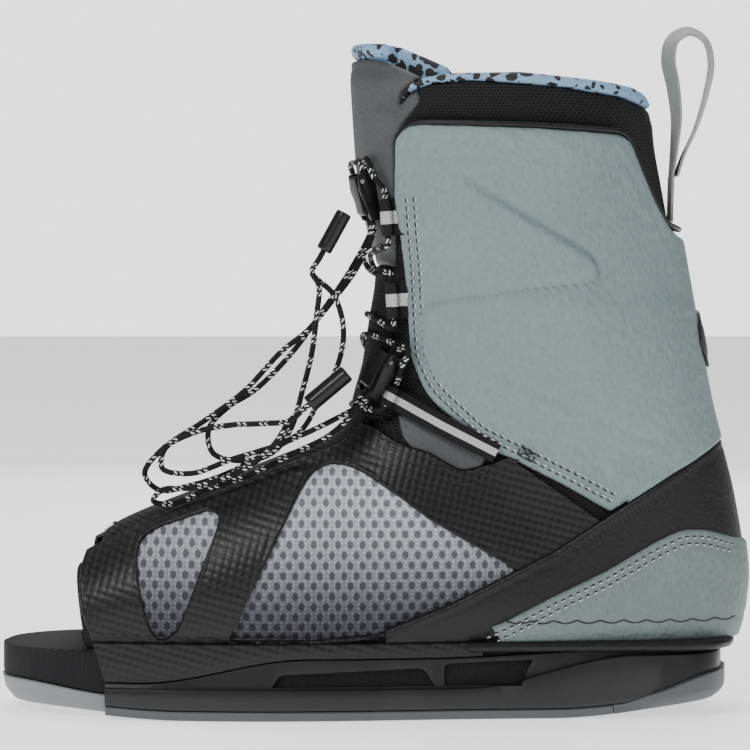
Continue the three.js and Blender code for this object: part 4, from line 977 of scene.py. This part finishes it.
def linerShape(where, depth):
    high = where[:, 2] - 242
    return 1.1 * np.exp(-(((high - 7) / 7) ** 2)) * smoothStep(depth, 0, 5) + wave(where, 16, 5) * 0.25


liner = ply("liner_shell", collarMesh, "boot", ("liner",), {
    "lifts": (-5, -0.05), "t": (-0.9, 12.6), "theta": around, "rows": 13, "across": 190,
    "edge": 1.6, "depth": linerDepth, "shape": linerShape, "wrapUv": True,
})
bindingLine = rounded([(x, z + 0.2, *r) for x, z, *r in collarEdge] + bindingTop[::-1], 1)


def bindingDepth(where):
    roll = depthIn(flat(where), bindingLine)
    facing = np.minimum.reduce([10.6 - where[:, 0], where[:, 2] - 205, 257 - where[:, 2]])
    return np.minimum(np.maximum(roll, facing), where[:, 0] - openEdge)


binding = ply("collar_binding_roll", printCloth, "boot", ("collar_binding",), {
    "lifts": (-5, 1.4), "t": (10.6, 12.8), "theta": around, "rows": 60, "across": 260,
    "edge": 2.6, "depth": bindingDepth, "shape": lambda where, depth: wave(where, 7, 9) * 0.25,
})
shieldLine = rounded([(-60, 185.3), (8.4, 185.3), (8.4, 238), (18.5, 252), (18.5, 262.5), (10, 267, 6),
                      (-1, 270.8, 4), (-60, 270.8)])


def shieldDepth(where):
    collar = depthIn(flat(where), bindingLine)
    return np.minimum(depthIn(flat(where), shieldLine), -collar - 0.6)


def shieldShape(where, depth):
    crown = 1.3 * smoothStep(depth, 0, 10)
    folds = wave(where * np.array([1, 1, 0.25]), 9, 21) * 0.35 * smoothStep(depth, 1, 8)
    return crown + folds + groove(depth, 3.4, 0.7, 0.3)


shield = ply("tongue_shield_pad", greyLeather, "tongue", ("tongue_shield",), {
    "lifts": (-1.5, 2), "t": (9.6, 12.9), "theta": front, "rows": 36, "across": 130,
    "edge": 1.6, "depth": shieldDepth, "shape": shieldShape,
})
liningTop = rounded([(-60, 185.3), (8.4, 185.3), (8.4, 276), (-2, 277), (-60, 277)], 0)


def liningDepth(where):
    return depthIn(flat(where), liningTop)


def liningLift(where, depth):
    roll = smoothStep(where[:, 2], 269.5, 272.5)
    return roll * (3.4 + 0.3 * wave(where, 8, 2))


lining = ply("tongue_lining_roll", printCloth, "tongue", ("tongue_lining",), {
    "lifts": (-6.5, -1.8), "t": (9.6, 12.9), "theta": front, "rows": 40, "across": 130,
    "edge": 2.4, "depth": liningDepth, "shape": liningLift,
})


def ankleDepth(where):
    x, y, z = where.T
    shin = np.minimum(tongueEdge - x, tongueSeam - z)
    foot = np.minimum.reduce([18.7 - np.abs(y - throatMiddle), 14 - x, z - 50, x + 114])
    return np.where(z > 121.6, shin, foot)


def ankleShape(where, depth):
    quilts = 0.5 * np.abs(np.sin(where[:, 2] / 9.0)) * (where[:, 2] > 122)
    return 0.9 * smoothStep(depth, 0, 8) + quilts * smoothStep(depth, 0, 5)


ankle = ply("ankle_tongue_pad", collarMesh, "boot", ("ankle_tongue",), {
    "lifts": (-5, 2), "t": (0.2, 10.2), "theta": front, "rows": 24, "across": 110,
    "edge": 1.8, "depth": ankleDepth, "shape": ankleShape, "wrapUv": True,
})
wingLine = rounded([(8.7, 193), (24, 193), (31, 200, 4), (31, 266), (19, 271.5), (8.7, 276)])
for word, theta in sides.items():
    wing = ply(f"tongue_wing_{word}_fold", printCloth, None, (f"tongue_wing_{word}",), {
        "lifts": (-8.3, -5.5), "t": (9.8, 12.9), "theta": theta, "rows": 26, "across": 110, "edge": 1.2,
        "depth": lambda where: depthIn(flat(where), wingLine),
        "shape": lambda where, depth: wave(where, 10, 4) * 0.5,
    })
    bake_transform(wing)


def badgeDepth(where):
    oval = (1 - np.hypot(where[:, 1] / 15, (where[:, 2] - 155) / 12)) * 12
    return np.minimum(oval, where[:, 0] - 100)


flapLine = rounded([(9.5, 124), (14, 125), (46, 107.5), (44, 103), (33, 100.5), (20, 105), (11, 115, 4)])
for word, theta in sides.items():
    ply(f"ankle_flap_{word}", greyLeather, "boot", (), {
        "lifts": (0.1, 1.4), "t": (3.5, 8.5), "theta": theta, "rows": 24, "across": 110, "edge": 0.9,
        "depth": lambda at: np.minimum(depthIn(flat(at), flapLine), -depthIn(flat(at), vampLine) + 0.2),
        "shape": lambda where, depth: 0.5 * smoothStep(depth, 0, 5) + wave(where, 12, 8) * 0.25,
    })

badgeRubber = Finish("badgeRubber", (0.012, 0.012, 0.013), 0.45)
badgeRubber.bump(badgeRubber.noise(700, 2), 0.0002, 0.5)
ply("back_badge_oval", badgeRubber, "boot", ("back_badge",), {
    "lifts": (5.9, 7.5), "t": (8.8, 11.2), "theta": (2.2, 2 * math.pi - 2.2), "rows": 50, "across": 90,
    "edge": 0.7, "depth": badgeDepth,
    "shape": lambda where, depth: groove(depth, 2.2, 0.6, 0.5) + 0.5 * smoothStep(depth, 4, 7),
})
print("stage: liner and tongue")


# The sole's plan, from its middle line outwards, and the heights that run along it.
soleLine = [(-157, 0), (-153, 19), (-141, 33), (-118, 42.5), (-85, 48), (-50, 49.5), (-10, 46.5), (30, 41.5),
            (70, 38), (105, 36), (127, 29), (137.5, 17), (141, 0)]
fineSole = catmull([(x, y, 0) for x, y in soleLine], 1.0)
soleRun = runAlong(fineSole)
halfSole = resample(fineSole[:, :2], soleRun, np.linspace(0, soleRun[-1], 110))
halfSole[:, 1] = np.maximum(halfSole[:, 1], 0)
rocker = lambda x: 4 * smoothStep(-x, 78, 150) + 6 * smoothStep(x, 72, 142)
rimTop = lambda x: 13 + 13 * smoothStep(x, 36, 104)
wallTop = lambda x: 15 + 10 * smoothStep(x, -96, -28) + 3 * smoothStep(x, 20, 104)
toeRise = lambda x: 5 * smoothStep(-x, 105, 150)


# A height or width that runs along another one: a share of it, and so many millimetres more.
def more(profile, extra, share=1):
    return lambda x: profile(x) * share + extra


def soleRing(grow, height):
    x, y = halfSole.T
    g = grow(x) if callable(grow) else np.full_like(x, grow)
    h = height(x) if callable(height) else np.full_like(x, height)
    gx = x + g * x / 150
    gy = np.maximum(y + g * np.minimum(1, y / 20), 0)
    outer = np.stack([gx, swingAt(gx) - gy, h], 1)
    inner = np.stack([gx, swingAt(gx) + gy, h], 1)[::-1][1:-1]
    return np.concatenate([outer, inner])


# Rings of the sole's plan, each grown by a width and set at a height, with ends cut off square.
def soleStack(name, levels, cuts=()):
    rings = [soleRing(*level) for level in levels]
    count = len(rings[0])
    faces = []
    for k in range(len(rings) - 1):
        for j in range(count):
            a, b = k * count + j, k * count + (j + 1) % count
            faces.append([a, b, b + count, a + count])
    for start, order in ((0, -1), ((len(rings) - 1) * count, 1)):
        for j in range(count // 2):
            ends = [start + j, start + j + 1, start + (count - j - 1) % count, start + (count - j) % count]
            face = list(dict.fromkeys(ends))
            faces.append(face[::order])
    obj = meshObject(name, np.concatenate(rings) * mm, faces)
    for place, direction in cuts:
        sliced(obj, ((place * mm, 0, 0), (direction, 0, 0)))
    return cleaned(obj, 38)


def sidePrism(name, corners, y0, y1):
    path = rounded(corners, 0, 8)
    n = len(path)
    points = [(x, y, z) for y in (y0, y1) for x, z in path]
    faces = [list(range(n)), list(range(2 * n - 1, n - 1, -1))]
    faces += [[(j + 1) % n, j, n + j, n + (j + 1) % n] for j in range(n)]
    return cleaned(meshObject(name, np.array(points) * mm, faces))


def cutAway(obj, cutters):
    for cutter in cutters:
        cut = obj.modifiers.new("cut", "BOOLEAN")
        cut.operation, cut.solver, cut.object = "DIFFERENCE", "EXACT", cutter
        chosen(obj)
        bpy.ops.object.modifier_apply(modifier=cut.name)
        bpy.data.objects.remove(cutter)


plastic = Finish("chassisPlastic", (0.009, 0.009, 0.01), 0.4, shine=0.4)
scuffs = plastic.noise(14, 6, None, 0.7)
scuffed = plastic.smooth(scuffs, 0.5, 0.75)
plastic.set("Base Color", plastic.mix(scuffed, (0.007, 0.007, 0.008), (0.015, 0.015, 0.016)))
plastic.set("Roughness", 0.3 + scuffs * 0.22)
plastic.bump(plastic.noise(1400, 2) * 0.5 + scuffs * 0.3, 0.00018, 0.5)


def rubber(name, colour, darker):
    made = Finish(name, colour, 0.55)
    clouds = made.noise(40, 4)
    made.set("Base Color", made.mix(clouds, darker, colour))
    made.set("Roughness", 0.48 + clouds * 0.15)
    made.bump(made.noise(900, 3), 0.0002, 0.4)
    return made


paleRubber = rubber("paleRubber", (0.2, 0.21, 0.215), (0.16, 0.17, 0.175))
darkRubber = rubber("darkRubber", (0.085, 0.092, 0.1), (0.062, 0.068, 0.075))
chassis = soleStack("chassis_tray", [
    (2.2, more(rocker, 4.2)), (3.4, more(rocker, 4.5)), (4.4, more(rocker, 5.8, 0.9)),
    (5.0, more(rocker, 8, 0.6)), (5.0, more(rimTop, -0.7)), (4.8, more(rimTop, -0.15)),
    (4.3, more(rimTop, 0.15)), (3.3, more(rimTop, 0.1)), (2.5, more(rimTop, -0.3)), (1.9, more(rimTop, 0.1)),
    (1.6, lambda x: np.minimum(rimTop(x) + 1.5, wallTop(x) - 0.9)),
    (1.5, more(wallTop, -0.6)), (1.4, more(wallTop, -0.15)), (1.0, wallTop),
], [(-110.6, 1)])
seat = soleStack("seatCut", [(0.3, 10), (0.3, 80)])
pockets = ([(-42, 14), (-39, 19, 2), (20, 21.4, 3), (24.4, 14)],
           [(28.6, 14), (28, 23, 3), (65, 24.4, 1), (61, 17, 6), (60.4, 14)])
cutters = [sidePrism("pocketCut", shape, *reach) for shape in pockets for reach in ((-90, -32), (32, 90))]
cutAway(chassis, [seat, *cutters])
cleaned(chassis, 32)
finishPiece(chassis, plastic, "boot", ("chassis",))
print("stage: chassis")
gasket = soleStack("base_gasket_sheet", [
    (1.4, rocker), (2.0, more(rocker, 0.3)), (3.0, more(rocker, 3.4)), (2.6, more(rocker, 4)),
], [(-110.6, 1), (97.7, -1)])
finishPiece(gasket, darkRubber, "boot", ("base_gasket",))
wedgeOut = lambda x: 3 + 3.8 * smoothStep(x, 98, 116)
wedgeFace = lambda x, low, rise: (
    low + rise * smoothStep(x, 98, 110) + 9 * smoothStep(x, 98, 140) + rocker(x) * 0.5 + 0.5 * rocker(98)
)
heelPad = soleStack("heel_gasket_wedge", [
    (1.6, rocker), (2.4, more(rocker, 0.4)), (more(wedgeOut, 0, 0.75), more(rocker, 2.6)),
    (more(wedgeOut, 0, 0.95), lambda x: 3.4 + rocker(x) + 1.2 * smoothStep(x, 98, 116)),
    (wedgeOut, lambda x: 3.8 + rocker(x) + 1.6 * smoothStep(x, 98, 120)),
    (wedgeOut, lambda x: wedgeFace(x, 3.9, 1.6)), (more(wedgeOut, -0.4), lambda x: wedgeFace(x, 4.1, 1.7)),
    (more(wedgeOut, -1.4), lambda x: wedgeFace(x, 4.1, 1.7)),
], [(98, 1)])
finishPiece(heelPad, darkRubber, "boot", ("heel_gasket",))
toePad = soleStack("toe_gasket_bumper", [
    (-4.6, rocker), (-3.6, more(rocker, 0.5)), (-0.5, more(rocker, 5)), (0.5, more(toeRise, 9.2)),
    (0.1, more(toeRise, 9.7)),
], [(-110.9, -1)])
finishPiece(toePad, paleRubber, "boot", ("toe_gasket",))

foam = Finish("footbedFoam", (0.01, 0.01, 0.011), 0.75, shine=0.3)
px, py, pz = foam.split(foam.place())
up = foam.split(foam.node("NewGeometry", None, "Normal"))[2] > 0.7  # ribs on top, a cross hatch on the sides
hatch = ((px + pz * 1.4) * 4600).sine() * ((px - pz * 1.4) * 4600).sine()
ribbed = (py * 3600).sine()
height = ribbed * up + hatch * (1 - up)
foam.set("Base Color", foam.mix(height * 0.5 + 0.5, (0.002, 0.002, 0.003), (0.045, 0.046, 0.05)))
foam.bump(height, 0.0007, 1.0)
footbed = soleStack("footbed_slab", [
    (-0.6, more(toeRise, 10)), (0.0, more(toeRise, 10.6)), (0.0, 26.8),
    (-0.25, 27.5), (-0.8, 27.9), (-2.0, 28),
])
finishPiece(footbed, foam, "boot", ("footbed",))
seatTop = lambda x: np.minimum(wallTop(x) + 0.3, 30)
randBand = lambda x: 2.2 + 0.5 * smoothStep(-x, 20, 90)
randTop = 31.6
for word, place in (("outer", -1), ("inner", 1)):
    rand = soleStack(f"sole_rand_{word}_fold", [
        (0.5, seatTop), (more(randBand, -0.5), more(seatTop, 0.2)),
        (randBand, more(seatTop, randTop * 0.2, 0.8)),
        (more(randBand, 0.2), more(seatTop, randTop * 0.6, 0.4)),
        (randBand, 31.2), (1.4, 31.7), (0.2, 31.8),
    ], [(44, -1)])
    sliced(rand, ((0, 0.0005, 0), (0, place, 0)), ((-0.1105, 0, 0.015), (0.95, 0, 0.31)))
    cleaned(rand)
    finishPiece(rand, vampLeather, "boot", (f"sole_rand_{word}",))
scallop = lambda x: 0.7 * np.abs(np.sin(x / 9.7 * np.pi))
bulge = lambda x: 1.5 + 6 * smoothStep(x, 100, 148)
welt = soleStack("sole_welt_roll", [
    (lambda x, k=k: 1.4 + bulge(x) + scallop(x) + 1.7 * math.sin(k), 29.8 - 2.1 * math.cos(k))
    for k in np.linspace(0.05, math.pi - 0.05, 9)
], [(38.6, 1)])
finishPiece(welt, blackLeather, "boot", ("sole_welt",))
print("stage: sole")


def tapeSection(width, thick):
    span = np.linspace(-0.5, 0.5, 7) * width
    edge = np.array([0.55, 0.92, 1, 1, 1, 0.92, 0.55]) * thick / 2
    top = np.stack([span, edge], 1)
    return np.concatenate([top, np.stack([span[::-1], -edge[::-1]], 1)])


def laceLoop(name, kind, side, node):
    path = loopPaths[kind]
    x, z, lift = resample(np.array(path, float), np.arange(len(path)), np.linspace(len(path) - 1, 0, 26)).T
    points = onSkin(x, z, side, lift)
    outs = unit(onSkin(x, z, side, lift + 1) - points)
    forward = unit(points[-1] - points[-2])
    radius = (laceBore + webThick) / 2
    centre = points[-1] + outs[-1] * radius
    turns = np.linspace(0.25, 5.6, 20)[:, None]
    radial = -outs[-1] * np.cos(turns) + forward * np.sin(turns)
    points, faces = np.concatenate([points, centre + radial * radius]), np.concatenate([-outs, radial])
    piece = sweep(name, points, tapeSection(loopWidths[kind], webThick), faces)
    finishPiece(piece, webbing, None if kind == "upper" else "boot", (node,))
    if kind == "upper":
        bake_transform(piece)
    return piece


for word, side in (("outer", -1), ("inner", 1)):
    laceLoop(f"ankle_strap_{word}_tape", "strap", side, f"ankle_strap_{word}")
    laceLoop(f"upper_loop_{word}_tape", "upper", side, f"upper_loop_{word}")
    laceLoop(f"lower_loop_{word}_tape", "lower", side, f"lower_loop_{word}")
pullPath = catmull([(124.2, 0, 222.8), (125.6, 0, 236), (126.3, 0, 248), (124.9, 0, 261), (122.9, 0, 272),
                    (124.6, 0, 280), (131.2, 0, 283.8), (138.2, 0, 280), (140.8, 0, 270.5), (138.9, 0, 258.5),
                    (134.5, 0, 243.5), (128.9, 0, 231), (126.2, 0, 223.2)], 1.2)
tabPath = catmull([(123.7, 0, 204), (123.9, 0, 213), (124.2, 0, 222.9)], 1.2)


def tapeFacing(path):
    slope = np.gradient(path, axis=0)
    return np.stack([-slope[:, 2], slope[:, 1], slope[:, 0]], 1)


turned = -0.22 * np.sin(np.linspace(0, np.pi, len(pullPath)))[:, None]  # the loop stands a little twisted
faceOut = unit(tapeFacing(pullPath)) * np.cos(turned) + np.array([0, 1, 0]) * np.sin(turned)
loop = sweep("pull_loop_tape", pullPath, tapeSection(19, 1.7), faceOut)
finishPiece(loop, loopTape, "heel_loop", ("pull_loop",))
tab = sweep("pull_tab_tape", tabPath, tapeSection(20, 1.9), tapeFacing(tabPath))
finishPiece(tab, loopTape, "boot", ("pull_tab",))

gloss = Finish("glossPlastic", (0.006, 0.006, 0.006), 0.28, shine=0.4)
gloss.set("Roughness", 0.22 + gloss.noise(160, 4) * 0.16)
gloss.bump(gloss.noise(900, 2), 0.0001, 0.3)
steel = Finish("pinSteel", (0.55, 0.55, 0.55), 0.3, Metallic=1.0)
steel.set("Roughness", 0.22 + steel.noise(900, 3) * 0.25)


def roundedCopy(node, name, finish, body, width=0.5):
    obj = nodes[node].copy()
    obj.data = nodes[node].data.copy()
    obj.name = name
    for key in list(obj.keys()):
        if key.startswith("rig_"):
            del obj[key]
    obj.parent = None
    obj.matrix_world = Matrix.Identity(4)
    bpy.context.collection.objects.link(obj)
    obj.data.name = name
    flatFaces = bpy.ops.mesh.dissolve_limited, {"angle_limit": math.radians(2)}
    edited(obj, (bpy.ops.mesh.remove_doubles, {"threshold": 0.00003}), flatFaces)
    edge = obj.modifiers.new("edge", "BEVEL")
    edge.width, edge.segments, edge.limit_method, edge.angle_limit = width * mm, 3, "ANGLE", math.radians(25)
    bpy.ops.object.modifier_apply(modifier=edge.name)
    cleaned(obj, 35, 0.000002)
    return finishPiece(obj, finish, body, (node,))


for zone, holder in (("upper", "tongue"), ("lower", "boot")):
    roundedCopy(f"{zone}_lock_body", f"{zone}_lock_housing", gloss, holder, 0.4)
    roundedCopy(f"{zone}_lock_lever", f"{zone}_lock_catch", gloss, f"{zone}_lever", 0.4)
    paint(nodes[f"{zone}_lock_pin"], steel)
for node in nodes:
    if node.startswith("chassis_screw"):
        paint(nodes[node], steel)
fibre = Finish("fibreBoard", (0.25, 0.2, 0.13), 0.8)
fibre.set("Base Color", fibre.mix(fibre.noise(300, 4), (0.17, 0.13, 0.08), (0.3, 0.24, 0.16)))
paint(nodes["lasting_board"], fibre)
paint(nodes["insole"], foam)
print("stage: webbing and hardware")


# A side-view line laid on the skin, with the way out of the skin and the run along it.
def alongSkin(line, side, lift):
    line = np.asarray(line, float)
    dense = [
        np.linspace(a, b, max(2, int(np.linalg.norm(b - a) / 0.1)), endpoint=False)
        for a, b in zip(line, line[1:])
    ]
    x, z = np.concatenate([*dense, line[-1:]]).T
    points = onSkin(x, z, side, lift)
    return points, onSkin(x, z, side, lift + 1) - points, runAlong(points)


pipeLine = rounded([(9.0, 238), (14.6, 244.4, 6), (63, 243), (103.2, 240.6, 6), (108, 228.5, 6),
                    (115, 212.6, 6), (120.6, 203, 3), (130.8, 199.6)], 0, 8, False)
pipe = []
for side in (-1, 1):
    points, outs, run = alongSkin(pipeLine, side, 4.6)
    part = resample(points, run, np.arange(0, run[-1], 1.5))
    pipe.append(part if side < 0 else part[::-1])
piping = sweep("cuff_piping_cord", np.concatenate(pipe), circle(1.15, 10))
finishPiece(piping, blackLeather, "boot", ("cuff_piping",))


def inset(path, distance):
    path = np.asarray(path, float)
    slope = unit(np.gradient(path, axis=0))
    return path + np.stack([-slope[:, 1], slope[:, 0]], 1) * distance


# One small bent bead for every stitch, all in one mesh. A seam comes with how far its row is moved left.
def stitchMesh(name, seams, lift, pitch, thread, size):
    length, width, rise = size
    rings = ((-0.5, 0.35, 0), (-0.3, 0.9, 0.6), (0, 1, 1), (0.3, 0.9, 0.6), (0.5, 0.35, 0))
    beads, points, faces = [], [], []
    for seam, distance in seams:
        for side in (-1, 1):
            at, outs, run = alongSkin(inset(seam, distance), side, lift)
            spots = np.arange(pitch / 2, run[-1] - pitch / 2, pitch)
            here, ahead = resample(at, run, spots), resample(at, run, spots + 0.4)
            beads += zip(here, ahead - here, resample(outs, run, spots))
    for centre, forward, out in beads:
        out, forward = unit(out), unit(forward)
        across = np.cross(out, forward)
        base = len(points)
        for along, fat, swell in rings:
            for a in [turn / 6 * 2 * math.pi for turn in range(6)]:
                flatPart = centre + forward * along * length + across * math.cos(a) * width / 2 * fat
                points.append(flatPart + out * (math.sin(a) * width / 2 * fat + swell * rise))
        for k in range(4):
            for j in range(6):
                a, b = base + k * 6 + j, base + k * 6 + (j + 1) % 6
                faces.append([a, b, b + 6, a + 6])
        faces.append([base + j for j in range(5, -1, -1)])
        faces.append([base + 24 + j for j in range(6)])
    obj = cleaned(meshObject(name, np.array(points) * mm, faces), 80, 0.000001)
    return finishPiece(obj, thread)


cuffSeam = rounded([(10.3, 214), (11.2, 200), (12.6, 185), (14.6, 149), (20.6, 134, 8), (42, 114.5),
                    (78, 96.5), (98, 86)], 0, 8, False)
counterSeam = rounded([(44, 36.2), (53, 39.5), (73, 50), (94, 60), (115, 72), (126, 77, 4), (136, 77, 4),
                       (150.5, 72.6)], 0, 8, False)
vampSeam = rounded([(-30, 117.6), (-20, 122), (-2, 120, 4), (11, 112, 4), (23, 108.5), (35, 101.5, 5),
                    (40, 102), (60, 109, 3)], 0, 6, False)
toeSeam = rounded([(-110, 81), (-118, 74, 4), (-121.6, 62, 6), (-120.6, 45), (-117, 34)], 0, 6, False)
bandSeam = rounded([(6, 37.4), (11, 39.5), (32, 48), (56, 60), (73, 68.5), (101, 86.5),
                    (150, 118)], 0, 6, False)
lowRow = [(-115.5, 35), (-100, 34.3), (-70, 33.6), (-30, 33.8)]
tack = [(58.2, 108.8), (64.2, 105.4), (60, 112.2), (66, 108.8)]
tackLines = [[tack[a], tack[b]] for a, b in ((0, 1), (2, 3), (0, 2), (1, 3), (0, 3), (2, 1))]
dark, pale = (2.0, 0.7, 0.2), (1.7, 0.55, 0.15)
stitchMesh("cuff_stitches_dark", [(cuffSeam, 2.2), (cuffSeam, 5.4)], 5.35, 3.4, blackThread, dark)
stitchMesh("cuff_stitches_pale", [(cuffSeam, 2.9), (cuffSeam, 6.1)], 5.3, 3.4, paleThread, pale)
stitchMesh("counter_stitches_dark", [(counterSeam, -2.4), (counterSeam, -5.2)], 6.75, 3.4, blackThread, dark)
stitchMesh("counter_stitches_pale", [(counterSeam, -3.1), (counterSeam, -5.9)], 6.75, 3.4, paleThread, pale)
vampRows = [(vampSeam, -2.4), (vampSeam, -5.6), (toeSeam, 2.4), (toeSeam, 5.2)]
stitchMesh("vamp_stitches", vampRows, 2.95, 3.6, blackThread, (2.3, 0.75, 0.25))
# A thread that sags between its stitches.
hang = {"from": 54, "to": 148, "step": 9.6, "height": 40.6, "sag": 1.3, "radius": 0.42}
for word, side in (("outer", -1), ("inner", 1)):
    line = [
        (x + f * hang["step"], hang["height"] - hang["sag"] * math.sin(math.pi * f))
        for x in np.arange(hang["from"], hang["to"], hang["step"]) for f in np.linspace(0, 0.96, 7)
    ]
    points, outs, run = alongSkin(line, side, 6.6)
    spots = np.arange(0, run[-1], 1.2)
    thread = sweep(f"lasting_thread_{word}", resample(points, run, spots), circle(hang["radius"], 6))
    finishPiece(thread, blackThread)
stitchMesh("vamp_foot_stitches", [(lowRow, 0)], 3.0, 5.2, blackThread, (3.8, 0.9, 0.5))
stitchMesh("band_stitches", [(bandSeam, -3.2)], 4.55, 3.2, blackThread, (2.1, 0.7, 0.2))
stitchMesh("cuff_bartack", [(line, 0) for line in tackLines], 5.6, 1.3, blackThread, (1.4, 0.7, 0.25))
print("stage: stitches")

glow = {"Emission_Color": (1, 1, 1, 1), "Emission_Strength": 1.0}
floorFinish = Finish("floorPaint", (0.88, 0.88, 0.88), 0.8, **glow)
floorMesh = bpy.data.meshes.new("floor")
floorMesh.from_pydata([(x, y, -0.0002) for x, y in ((-4, -4), (4, -4), (4, 6), (-4, 6))], [], [(0, 1, 2, 3)])
floor = placed("floor", floorMesh)
paint(floor, floorFinish)
floor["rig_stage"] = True

low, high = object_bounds()
